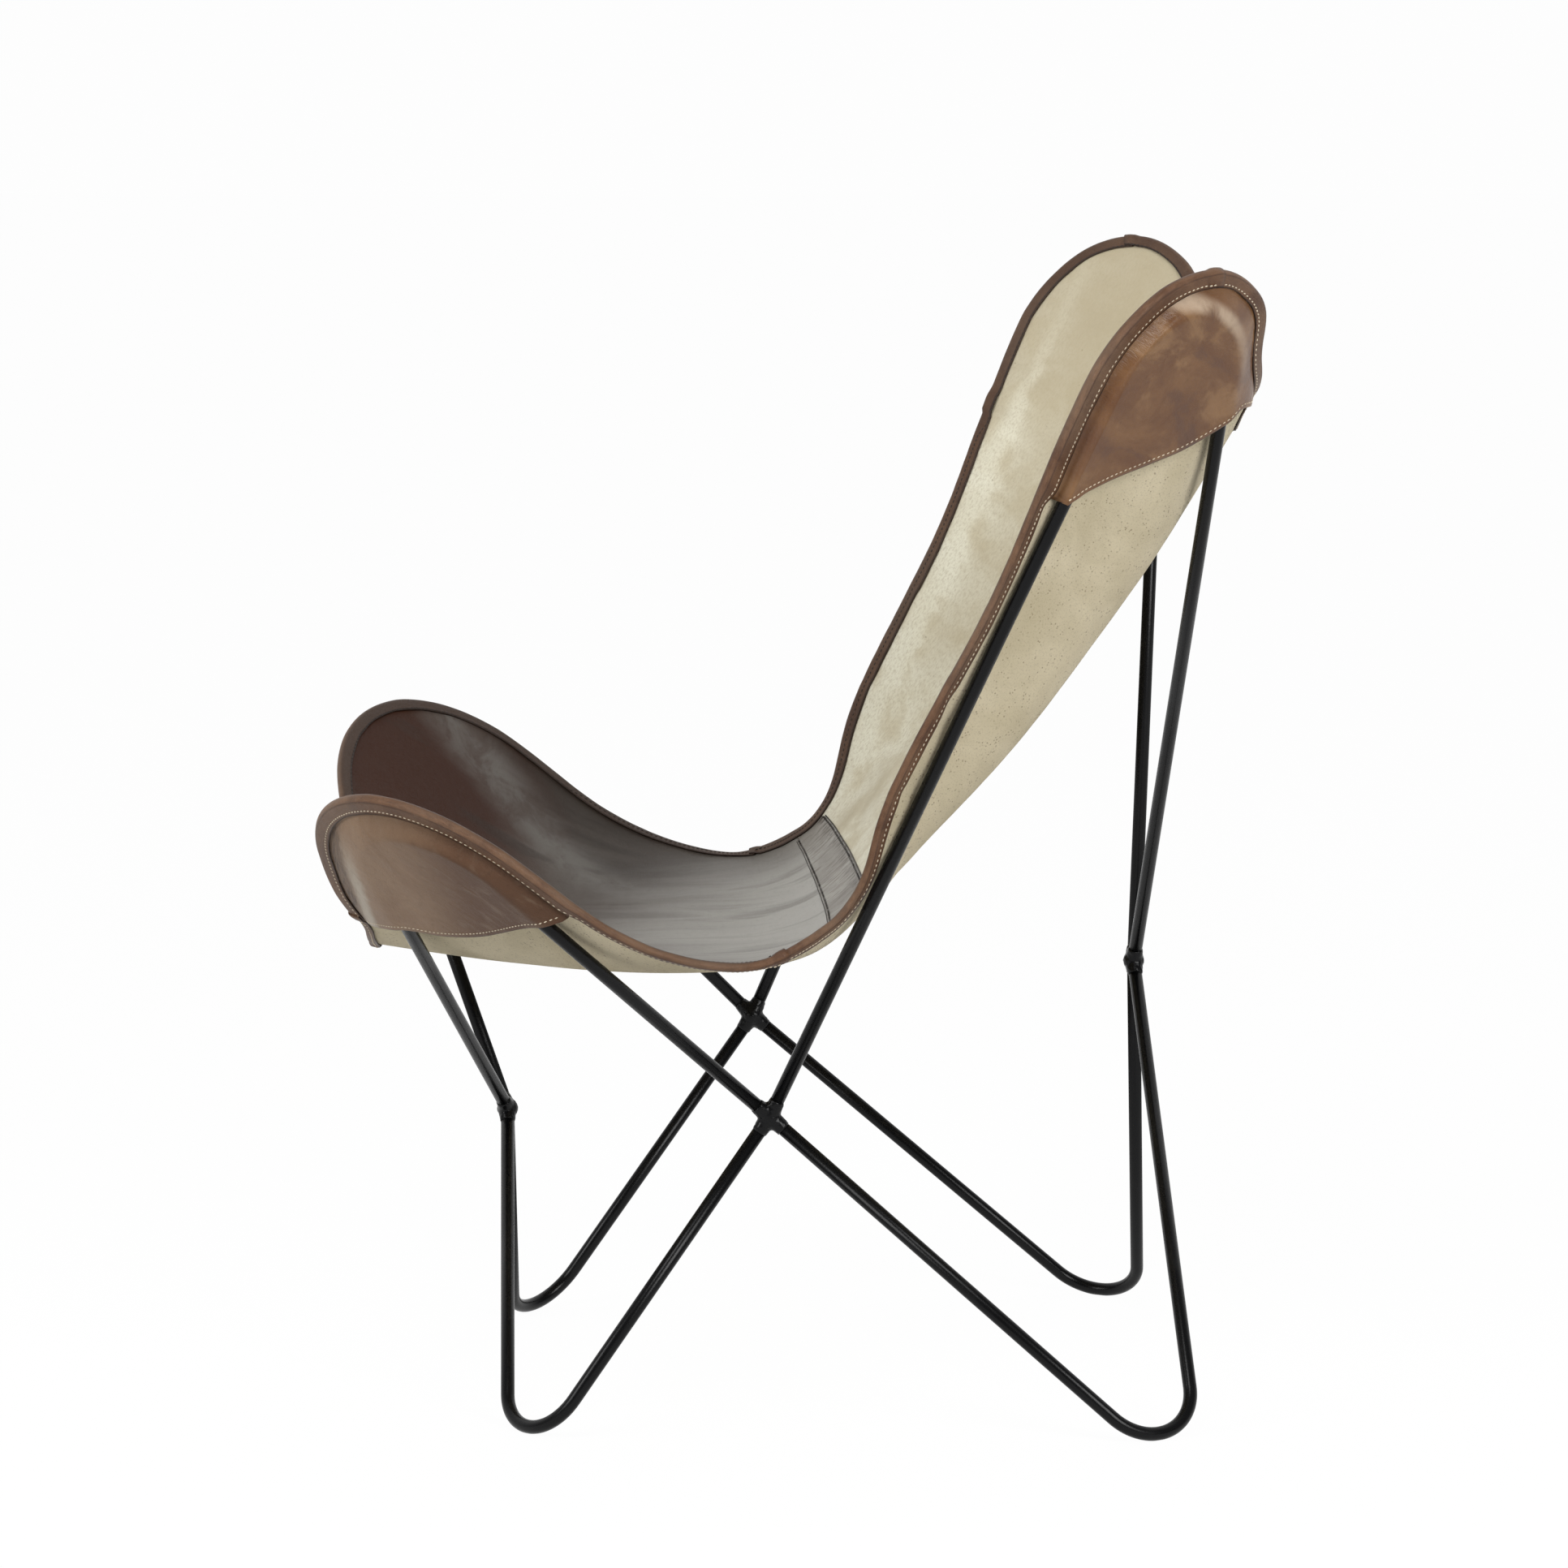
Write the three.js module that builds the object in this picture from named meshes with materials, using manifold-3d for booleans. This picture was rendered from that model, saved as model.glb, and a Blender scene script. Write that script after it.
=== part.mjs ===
// Butterfly sling chair: a welded frame of eight bent steel rods carries a sling of
// leather and canvas by four corner pockets. Millimetres, +Z up, the front faces -Y,
// "right" is +X, and the chair is the same on its left and its right.
import * as THREE from 'three';
import { mergeVertices } from 'three/addons/utils/BufferGeometryUtils.js';
import Module from 'manifold-3d';

const wasm = await Module();
wasm.setup();

// Driving dimensions of the rod frame
const rodDiameter = 11;
const rodRadius = rodDiameter / 2;
const clearance = 0.3;
const sideWeldHalfSpan = 238.7;
const sideWeldY = -26.6;
const sideWeldHeight = 255.4;
const frontWeldY = -235.1;
const frontWeldHeight = 219.6;
const rearWeldY = 281;
const rearWeldHeight = 339.4;
const footBendRadius = 45;
const footWear = 0.4;
const frontFootHalfSpan = 224;
const frontFootY = -219.3;
const rearFootHalfSpan = 268.5;
const rearFootY = 278;
const frontEarBendRadius = 64.2;
const frontEarHalfSpan = 316.2;
const frontEarY = -313.3;
const frontEarHeight = 493.5;
const rearEarBendRadius = 58.5;
const rearEarHalfSpan = 333.9;
const rearEarY = 298.1;
const rearEarHeight = 895;
const rodSides = 10;
const bendSteps = 12;
const legSteps = 2;

// Driving dimensions of the welds
const weldBead = 1;
const sideWeldReach = 15;
const centreWeldReach = 13;
const weldRootRadius = 8.5;
const weldSides = 12;

// Driving dimensions of the sling: the cloth layers from the outside in
const liningThickness = 1.5;
const panelThickness = 1.8;
const pocketThickness = 1.6;
const bindingThickness = 1.2;
const bindingWidth = 12;
const bindingEase = 0.6;

// The centre line of the sling, measured from the welds of the frame
const frontLipForward = 108;
const frontLipRise = 141;
const frontLapBack = 10;
const frontLapRise = 136.5;
const lowPointForward = 83.5;
const lowPointRise = 102;
const creaseStartBack = 11.5;
const creaseStartRise = 106.5;
const creaseBack = 59.5;
const creaseRise = 125.5;
const lumbarBack = 141.5;
const lumbarRise = 216;
const spineForward = 60.5;
const spineRise = 256;
const shoulderBack = 15;
const shoulderRise = 354;
const topEdgeBack = 72;
const topEdgeRise = 444;

// The round tongues of the sling that lie over the ears of the frame
const frontTongueRadius = 123;
const frontTongueDrop = 26;
const frontTongueShift = 14.5;
const rearTongueRadius = 105;
const rearTongueDrop = 16.5;
const rearTongueShift = 7;

// The cut of the sling: its half width where the sides draw in, at shares of the length
const hipHalfWidth = 344;
const seatHalfWidth = 323.5;
const bandHalfWidth = 287;
const creaseHalfWidth = 273;
const lumbarHalfWidth = 306;
const backHalfWidth = 331;
const shoulderHalfWidth = 358;
const hipShare = 0.2;
const seatShare = 0.285;
const bandShare = 0.408;
const creaseShare = 0.475;
const lumbarShare = 0.57;
const backShare = 0.74;
const shoulderShare = 0.865;
// Between the tongues each end edge dips: shares of the way to where the tongue starts
const frontDipShares = [[0.35, 0.09], [0.6, 0.19], [0.82, 0.74]];
const rearDipShares = [[0.35, 0.09], [0.65, 0.16], [0.87, 0.84]];
// How the cloth lies: it sags between its sides and folds round onto the ears' rods
const seatRise = 34;
const seatRiseHalfWidth = 300;
const sagShares = [1, 0.51, 0.68, 0.82, 0.41, 0.86, 1.32];
const frontFold = 60;
const rearFold = 25;
// The mouths of the pockets, from the outer side to the inner one, as shares of the tongue's
// radius sideways and upwards from the tongue's middle
const frontMouthShares = [
  [0.96, -0.06], [0.69, -0.18], [0.3, -0.35], [-0.14, -0.45], [-0.5, -0.45], [-0.88, -0.38],
];
const rearMouthShares = [[0.98, -0.74], [0.59, -0.69], [0.02, -0.6], [-0.5, -0.5], [-0.82, -0.36]];
const columns = 9;
const seatRows = 9;
const bandRows = 2;
const backRows = 11;
const pocketColumns = 14;
const pocketRows = 5;
const pocketEase = 1.8;
const pocketGap = 0.9;
const pocketMargin = 3.5;
const crestSteps = 50;

// Colours and finishes
const steelColour = 0x1c1c1e;
const canvasColour = 0xb3a684;
const innerCanvasColour = 0xbeb69b;
const seatLeatherColour = 0x5a4438;
const bandLeatherColour = 0x7a6a5e;
const tanLeatherColour = 0x7d5138;

const chair = new THREE.Group();
const up = new THREE.Vector3(0, 0, 1);

function vector(x, y, z) {
  return new THREE.Vector3(x, y, z);
}

function addPart(name, geometry, colour, roughness, metalness) {
  const material = new THREE.MeshStandardMaterial({ color: colour, roughness, metalness });
  const mesh = new THREE.Mesh(geometry, material);
  mesh.name = name;
  chair.add(mesh);
}

function toGeometry(points, triangles) {
  const geometry = new THREE.BufferGeometry();
  const numbers = points.flatMap((point) => point.toArray());
  geometry.setAttribute('position', new THREE.Float32BufferAttribute(numbers, 3));
  geometry.setIndex(triangles.flat());
  return geometry;
}

// A closed tongue or foot of one bent rod: straight from the side weld, round the bend,
// and straight to the weld on the centre plane. The apex is the bend's highest or lowest point.
function rodLoop(side, centreWeld, apex, bendRadius, upward) {
  const normal = new THREE.Vector3().crossVectors(
    side.clone().sub(apex), centreWeld.clone().sub(apex)).normalize();
  if (normal.z < 0) normal.negate();
  const steepest = up.clone().addScaledVector(normal, -normal.z).normalize();
  if (!upward) steepest.negate();
  const centre = apex.clone().addScaledVector(steepest, -bendRadius);
  const tangentPoint = (from, away) => {
    const toEnd = from.clone().sub(centre);
    const distance = toEnd.length();
    toEnd.normalize();
    const sideways = new THREE.Vector3().crossVectors(normal, toEnd);
    const turn = Math.acos(bendRadius / distance);
    const choices = [1, -1].map((sign) => centre.clone()
      .addScaledVector(toEnd, bendRadius * Math.cos(turn))
      .addScaledVector(sideways, sign * bendRadius * Math.sin(turn)));
    return choices[0].distanceTo(away) > choices[1].distanceTo(away) ? choices[0] : choices[1];
  };
  const sideTangent = tangentPoint(side, centreWeld);
  const centreTangent = tangentPoint(centreWeld, side);
  const bisector = side.clone().sub(sideTangent).normalize()
    .add(centreWeld.clone().sub(centreTangent).normalize()).normalize();
  const axis = bisector.negate();
  const lateral = new THREE.Vector3().crossVectors(axis, normal).normalize();
  if (lateral.dot(side.clone().sub(centreWeld)) < 0) lateral.negate();
  const halfSweep = axis.angleTo(sideTangent.clone().sub(centre));
  return {
    side, centreWeld, centre, sideTangent, centreTangent, bendRadius, halfSweep, axis, lateral, normal,
  };
}

// The rod's axis as one curve, with short steps in the bend and long ones in the legs
class RodAxis extends THREE.Curve {
  constructor(loop, sideGap, centreGap) {
    super();
    const { side, centreWeld, centre, sideTangent, centreTangent, bendRadius } = loop;
    const start = side.clone().addScaledVector(sideTangent.clone().sub(side).normalize(), sideGap);
    const end = centreWeld.clone()
      .addScaledVector(centreTangent.clone().sub(centreWeld).normalize(), centreGap);
    const first = sideTangent.clone().sub(centre).normalize();
    const across = loop.axis.clone().addScaledVector(first, -loop.axis.dot(first)).normalize();
    const sweep = 2 * loop.halfSweep;
    this.legs = [[start, sideTangent], [centreTangent, end]];
    this.bend = (share) => centre.clone()
      .addScaledVector(first, bendRadius * Math.cos(sweep * share))
      .addScaledVector(across, bendRadius * Math.sin(sweep * share));
    this.steps = bendSteps + 2 * legSteps;
  }

  getPoint(t, target = new THREE.Vector3()) {
    const place = t * this.steps;
    if (place <= legSteps) return target.lerpVectors(...this.legs[0], place / legSteps);
    const past = place - legSteps - bendSteps;
    if (past >= 0) return target.lerpVectors(...this.legs[1], past / legSteps);
    return target.copy(this.bend((place - legSteps) / bendSteps));
  }

  getUtoTmapping(u) {
    return u;
  }
}

function circleShape(radius, sides) {
  const corners = [];
  for (let i = 0; i < sides; i += 1) {
    const angle = (2 * Math.PI * (i + 0.5)) / sides;
    corners.push(new THREE.Vector2(radius * Math.cos(angle), radius * Math.sin(angle)));
  }
  return new THREE.Shape(corners);
}

// The four kinds of loop, on the right and, mirrored, on the left
function weldPoints(mirror) {
  return {
    side: vector(mirror * sideWeldHalfSpan, sideWeldY, sideWeldHeight),
    front: vector(0, frontWeldY, frontWeldHeight),
    rear: vector(0, rearWeldY, rearWeldHeight),
  };
}

function loopsOf(mirror) {
  const weld = weldPoints(mirror);
  const foot = (halfSpan, y) => vector(mirror * halfSpan, y, rodRadius);
  const ear = (halfSpan, y, height) => vector(mirror * halfSpan, y, height);
  return {
    front_foot: rodLoop(weld.side, weld.front,
      foot(frontFootHalfSpan, frontFootY), footBendRadius, false),
    rear_foot: rodLoop(weld.side, weld.rear,
      foot(rearFootHalfSpan, rearFootY), footBendRadius, false),
    front_ear: rodLoop(weld.side, weld.front,
      ear(frontEarHalfSpan, frontEarY, frontEarHeight), frontEarBendRadius, true),
    rear_ear: rodLoop(weld.side, weld.rear,
      ear(rearEarHalfSpan, rearEarY, rearEarHeight), rearEarBendRadius, true),
  };
}

const loops = { right: loopsOf(1), left: loopsOf(-1) };

// Closed meshes as solids, for what is cut or joined
function solidOf(geometry) {
  geometry.deleteAttribute('normal');
  geometry.deleteAttribute('uv');
  const merged = mergeVertices(geometry);
  const mesh = new wasm.Mesh({
    numProp: 3,
    vertProperties: new Float32Array(merged.attributes.position.array),
    triVerts: new Uint32Array(merged.index.array),
  });
  return new wasm.Manifold(mesh);
}

function geometryOf(solid) {
  const mesh = solid.getMesh();
  const geometry = new THREE.BufferGeometry();
  geometry.setAttribute('position', new THREE.Float32BufferAttribute(mesh.vertProperties, mesh.numProp));
  geometry.setIndex(Array.from(mesh.triVerts));
  return geometry;
}

// Where a foot's bend stands on the floor its round has worn to a small flat
function wornFlat(geometry) {
  const slabSize = 2 * footBendRadius;
  const slab = new THREE.BoxGeometry(slabSize, slabSize, slabSize);
  geometry.computeBoundingBox();
  const { min, max } = geometry.boundingBox;
  const across = (min.x + max.x) / 2;
  const along = (min.y + max.y) / 2;
  slab.scale((max.x - min.x) / slabSize, (max.y - min.y) / slabSize, 1);
  slab.translate(across, along, footWear - slabSize / 2);
  return geometryOf(solidOf(geometry).subtract(solidOf(slab)));
}

for (const [hand, set] of Object.entries(loops)) {
  for (const [kind, loop] of Object.entries(set)) {
    const axis = new RodAxis(loop, sideWeldReach + clearance, centreWeldReach + clearance);
    const rod = new THREE.ExtrudeGeometry(circleShape(rodRadius, rodSides), {
      steps: axis.steps, extrudePath: axis, curveSegments: 1,
    });
    const [end, purpose] = kind.split('_');
    const geometry = purpose === 'foot' ? wornFlat(rod) : rod;
    addPart(`${end}_${hand}_${purpose}_rod`, geometry, steelColour, 0.4, 0.6);
  }
}

// A weld: four short stubs of bead round the rods' ends, run together over a round root
function weldAt(point, ends, reach) {
  const root = new THREE.SphereGeometry(weldRootRadius, weldSides, weldSides / 2);
  root.translate(point.x, point.y, point.z);
  let solid = solidOf(root);
  for (const end of ends) {
    const direction = end.clone().sub(point).normalize();
    const bead = rodRadius + weldBead;
    const stub = new THREE.CylinderGeometry(bead - weldBead / 2, bead, reach, weldSides);
    stub.translate(0, reach / 2, 0);
    stub.applyQuaternion(new THREE.Quaternion().setFromUnitVectors(vector(0, 1, 0), direction));
    stub.translate(point.x, point.y, point.z);
    solid = solid.add(solidOf(stub));
  }
  return geometryOf(solid);
}

for (const [hand, set] of Object.entries(loops)) {
  const ends = Object.values(set).map((loop) => loop.sideTangent);
  addPart(`${hand}_side_weld`, weldAt(set.front_foot.side, ends, sideWeldReach), steelColour, 0.45, 0.6);
}
for (const end of ['front', 'rear']) {
  const tangents = Object.values(loops).flatMap((set) => [
    set[`${end}_foot`].centreTangent, set[`${end}_ear`].centreTangent]);
  const point = loops.right[`${end}_foot`].centreWeld;
  addPart(`${end}_centre_weld`, weldAt(point, tangents, centreWeldReach), steelColour, 0.45, 0.6);
}

// The spine of the sling: its centre line, on the outer face of the lining
const weld = weldPoints(1);
const spine = new THREE.CatmullRomCurve3([
  vector(0, weld.front.y - frontLipForward, weld.front.z + frontLipRise),
  vector(0, weld.front.y + frontLapBack, weld.front.z + frontLapRise),
  vector(0, weld.side.y - lowPointForward, weld.side.z + lowPointRise),
  vector(0, weld.side.y + creaseStartBack, weld.side.z + creaseStartRise),
  vector(0, weld.side.y + creaseBack, weld.side.z + creaseRise),
  vector(0, weld.side.y + lumbarBack, weld.side.z + lumbarRise),
  vector(0, weld.rear.y - spineForward, weld.rear.z + spineRise),
  vector(0, weld.rear.y + shoulderBack, weld.rear.z + shoulderRise),
  vector(0, weld.rear.y + topEdgeBack, weld.rear.z + topEdgeRise),
], false, 'centripetal');
spine.arcLengthDivisions = 600;
const spineLength = spine.getLength();

const sagCurve = new THREE.SplineCurve(sagShares.map((share, i) => new THREE.Vector2(i, share)));

// A frame on the spine at a length along it, carried on straight past both ends
function spineFrame(along) {
  const share = THREE.MathUtils.clamp(along / spineLength, 0, 1);
  const tangent = spine.getTangentAt(share);
  const point = spine.getPointAt(share).addScaledVector(tangent, along - share * spineLength);
  const sag = sagCurve.getPoint(share).y;
  return { point, tangent, sag, normal: vector(0, -tangent.z, tangent.y) };
}

// Each ear's plane, moved in by the rod's radius and by the binding that lies between the
// two, is where the lining rests
const restLift = rodRadius + clearance + bindingThickness + bindingEase;
function restPlane(loop) {
  const inner = loop.normal.clone();
  return { inner, level: inner.dot(loop.centre) + restLift };
}

const planes = [
  { ...restPlane(loops.right.front_ear), fold: frontFold },
  { ...restPlane(loops.right.rear_ear), fold: rearFold },
];

function softMaximum(a, b, width) {
  const overlap = Math.max(width - Math.abs(a - b), 0) / width;
  return Math.max(a, b) + (overlap * overlap * width) / 4;
}

// How far the lining rises off the spine's level at a half width
function rise(halfWidth, frame) {
  let height = seatRise * frame.sag * (halfWidth / seatRiseHalfWidth) ** 2;
  for (const { inner, level, fold } of planes) {
    const slope = inner.dot(frame.normal);
    if (slope > 0) {
      const base = inner.dot(frame.point) + inner.x * halfWidth;
      height = softMaximum(height, (level - base) / slope, fold);
    }
  }
  return height;
}

// A place on the cut pattern, half width and length along, set on the draped surface
function drape(across, along) {
  const frame = spineFrame(along);
  const point = frame.point.clone().addScaledVector(frame.normal, rise(Math.abs(across), frame));
  point.x = across;
  return point;
}

const probe = rodRadius;
function drapeNormal(across, along) {
  const wide = drape(across + probe, along).sub(drape(across - probe, along));
  const long = drape(across, along + probe).sub(drape(across, along - probe));
  return wide.cross(long).normalize();
}

// The place on the pattern of a point that lies on the draped surface
const settleRounds = 60;
const settleShare = 0.7;
function patternOf(point) {
  const [low, high] = [spineFrame(0).point.z, spineFrame(spineLength).point.z];
  let along = spineLength * THREE.MathUtils.clamp((point.z - low) / (high - low), 0, 1);
  for (let i = 0; i < settleRounds; i += 1) {
    const frame = spineFrame(along);
    along += settleShare * point.clone().sub(frame.point).dot(frame.tangent);
  }
  return new THREE.Vector2(point.x, along);
}

function onEarPlane(loop, lateral, axial) {
  return loop.centre.clone()
    .addScaledVector(loop.lateral, lateral)
    .addScaledVector(loop.axis, axial)
    .addScaledVector(loop.normal, restLift);
}

// The tongue's rim, an arc round a point on the loop's axis, at an angle from the outer side
function tonguePoint(tongue, degrees) {
  const angle = THREE.MathUtils.degToRad(degrees);
  return patternOf(onEarPlane(tongue.loop,
    tongue.radius * Math.cos(angle) - tongue.shift, tongue.radius * Math.sin(angle) - tongue.drop));
}

const frontTongue = { loop: loops.right.front_ear, radius: frontTongueRadius,
  drop: frontTongueDrop, shift: frontTongueShift, mouthShares: frontMouthShares };
const rearTongue = { loop: loops.right.rear_ear, radius: rearTongueRadius,
  drop: rearTongueDrop, shift: rearTongueShift, mouthShares: rearMouthShares };
const frontArc = [165, 145, 125, 105, 85, 65, 45, 25];
const rearArc = [5, 25, 45, 65, 85, 105, 125, 145, 170];
const cornerTurn = 65;

function dip(shares, centre, start) {
  return shares.map(([across, along]) => new THREE.Vector2(
    across * start.x, centre.y + along * (start.y - centre.y)));
}

function atShare(halfWidth, share) {
  return new THREE.Vector2(halfWidth, share * spineLength);
}

// Half of the sling's outline on the cut pattern, from the middle of the front edge round
// the front tongue, along the side and round the rear tongue to the middle of the top edge
const frontMiddle = new THREE.Vector2(0, 0);
const rearMiddle = new THREE.Vector2(0, spineLength);
const frontRim = frontArc.map((turn) => tonguePoint(frontTongue, turn));
const rearRim = rearArc.map((turn) => tonguePoint(rearTongue, turn));
const sideRim = [
  atShare(hipHalfWidth, hipShare), atShare(seatHalfWidth, seatShare),
  atShare(bandHalfWidth, bandShare), atShare(creaseHalfWidth, creaseShare),
  atShare(lumbarHalfWidth, lumbarShare), atShare(backHalfWidth, backShare),
  atShare(shoulderHalfWidth, shoulderShare),
];
const mirrorPoint = (point) => new THREE.Vector2(-point.x, point.y);
const rimPoints = [
  frontMiddle, ...dip(frontDipShares, frontMiddle, frontRim[0]), ...frontRim, ...sideRim,
  ...rearRim, ...dip(rearDipShares, rearMiddle, rearRim.at(-1)).reverse(), rearMiddle,
];
const rim = new THREE.SplineCurve([
  mirrorPoint(rimPoints[1]), ...rimPoints, mirrorPoint(rimPoints.at(-2)),
]);

const rimSpans = rim.points.length - 1;
const rimSteps = 40;
const rimPlace = (point) => rim.points.indexOf(point);

// Equal steps along the rim from one place to another, places counted in its given points
function divideRim(from, to, pieces) {
  const begin = from / rimSpans;
  const finish = to / rimSpans;
  const fine = rimSteps * pieces;
  const samples = [];
  for (let i = 0; i <= fine; i += 1) samples.push(rim.getPoint(begin + ((finish - begin) * i) / fine));
  const lengths = [0];
  for (let i = 1; i <= fine; i += 1) {
    lengths.push(lengths[i - 1] + samples[i].distanceTo(samples[i - 1]));
  }
  const places = [];
  for (let piece = 0, i = 0; piece <= pieces; piece += 1) {
    const wanted = (lengths[fine] * piece) / pieces;
    while (i < fine - 1 && lengths[i + 1] < wanted) i += 1;
    const share = (wanted - lengths[i]) / (lengths[i + 1] - lengths[i]);
    places.push(samples[i].clone().lerp(samples[i + 1], share));
  }
  return places;
}

const frontCorner = frontRim[frontArc.indexOf(cornerTurn)];
const rearCorner = rearRim[rearArc.indexOf(cornerTurn)];
const bandEnd = sideRim[2];
const creaseEnd = sideRim[3];
const rows = seatRows + bandRows + backRows;
const stretches = [
  [frontMiddle, frontCorner, columns], [frontCorner, bandEnd, seatRows],
  [bandEnd, creaseEnd, bandRows], [creaseEnd, rearCorner, backRows],
  [rearCorner, rearMiddle, columns],
];
const outerHalf = [frontMiddle.clone(), ...stretches.flatMap(
  ([from, to, pieces]) => divideRim(rimPlace(from), rimPlace(to), pieces).slice(1))];

// The hem, where the binding lies, is a strip of even width inside the outline
const hemWidth = bindingWidth + bindingThickness + 2 * clearance;
const pocketInset = bindingWidth + clearance + pocketMargin;
function insetLine(line, inset, mirrored) {
  return line.map((point, k) => {
    const before = line[k - 1] ?? (mirrored ? mirrorPoint(line[1]) : point);
    const after = line[k + 1] ?? (mirrored ? mirrorPoint(line.at(-2)) : point);
    const along = after.clone().sub(before).normalize();
    return new THREE.Vector2(point.x - along.y * inset, point.y + along.x * inset);
  });
}
const innerHalf = insetLine(outerHalf, hemWidth, true);

// Places inside the hem, spread evenly between the front edge, the seams and the top edge
const half = [];
const relaxRounds = 300;
function fillBlock(firstRow, bottom, top, side) {
  const count = side.length - 1;
  const block = side.map((edge, i) => {
    const share = i / count;
    if (i === 0) return bottom;
    if (i === count) return top;
    return bottom.map((low, j) => {
      const across = j / columns;
      const place = low.clone().lerp(top[j], share);
      const miss = edge.clone().sub(bottom[columns].clone().lerp(top[columns], share));
      return place.addScaledVector(miss, across);
    });
  });
  for (let round = 0; round < relaxRounds; round += 1) {
    for (let i = 1; i < count; i += 1) {
      for (let j = 0; j < columns; j += 1) {
        const left = j ? block[i][j - 1] : mirrorPoint(block[i][1]);
        block[i][j] = left.clone().add(block[i][j + 1]).add(block[i - 1][j]).add(block[i + 1][j])
          .multiplyScalar(0.25);
      }
      block[i][columns] = side[i];
    }
  }
  block.forEach((row, i) => { half[firstRow + i] = row; });
}

function seamRow(end) {
  const places = [];
  for (let j = 0; j <= columns; j += 1) {
    places.push(new THREE.Vector2((end.x * j) / columns, end.y));
  }
  return places;
}

const sideStart = columns;
const sideEnd = columns + rows;
const frontRow = innerHalf.slice(0, columns + 1);
const rearRow = innerHalf.slice(sideEnd).reverse();
const bandRow = seamRow(innerHalf[sideStart + seatRows]);
const creaseRow = seamRow(innerHalf[sideStart + seatRows + bandRows]);
const seatSide = innerHalf.slice(sideStart, sideStart + seatRows + 1);
const bandSide = innerHalf.slice(sideStart + seatRows, sideStart + seatRows + bandRows + 1);
const backSide = innerHalf.slice(sideStart + seatRows + bandRows, sideEnd + 1);
fillBlock(0, frontRow, bandRow, seatSide);
fillBlock(seatRows, bandRow, creaseRow, bandSide);
fillBlock(seatRows + bandRows, creaseRow, rearRow, backSide);

// The whole pattern: both halves inside the hem, and the outline that goes all round
const acrossCount = 2 * columns + 1;
const inside = half.map((row) => {
  const whole = [];
  for (let j = columns; j > 0; j -= 1) whole.push(mirrorPoint(row[j]));
  return whole.concat(row);
});
const outline = [...outerHalf, ...outerHalf.slice(1, -1).reverse().map(mirrorPoint)];

const rimIndex = (k) => ((k % outline.length) + outline.length) % outline.length;
const onLeft = (k) => rimIndex(k) >= outerHalf.length - 1;

function ringPlace(k) {
  const total = outline.length;
  const index = rimIndex(k);
  const mirrored = index >= outerHalf.length;
  const at = mirrored ? total - index : index;
  let row;
  let column;
  if (at <= columns) [row, column] = [0, at];
  else if (at <= sideEnd) [row, column] = [at - columns, columns];
  else [row, column] = [rows, columns - (at - sideEnd)];
  return { outer: outline[index], row, column: columns + (mirrored ? -column : column) };
}

// A place on the pattern with the draped point and the direction that its layers stack in
const draped = new Map();
function stack(place) {
  const key = `${place.x},${place.y}`;
  if (!draped.has(key)) {
    draped.set(key, { point: drape(place.x, place.y), normal: drapeNormal(place.x, place.y) });
  }
  return draped.get(key);
}

function layerPoint(place, offset) {
  const { point, normal } = stack(place);
  return point.clone().addScaledVector(normal, offset);
}

// A point in the hem, a given way in from the outline
function hemPoint(k, inset, offset) {
  const { outer, row, column } = ringPlace(k);
  return layerPoint(outer, offset).lerp(layerPoint(inside[row][column], offset), inset / hemWidth);
}

// A closed sheet from a net of quads: its two faces and the rim that joins them
function sheetGeometry(low, high, quads) {
  const count = low.length;
  const triangles = [];
  const edges = new Map();
  for (const quad of quads) {
    quad.forEach((a, i) => {
      const b = quad[(i + 1) % quad.length];
      if (a !== b) edges.set(`${a},${b}`, [a, b]);
    });
    for (const [a, b, c] of [[quad[0], quad[1], quad[2]], [quad[0], quad[2], quad[3]]]) {
      if (a === b || b === c || c === a) continue;
      triangles.push([a + count, b + count, c + count], [c, b, a]);
    }
  }
  for (const [a, b] of edges.values()) {
    if (edges.has(`${b},${a}`)) continue;
    triangles.push([a, b, b + count], [a, b + count, a + count]);
  }
  return toGeometry([...low, ...high], triangles);
}

// The same quad, split along its other diagonal, so that the left side mirrors the right
const turned = ([a, b, c, d]) => [b, c, d, a];

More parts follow.
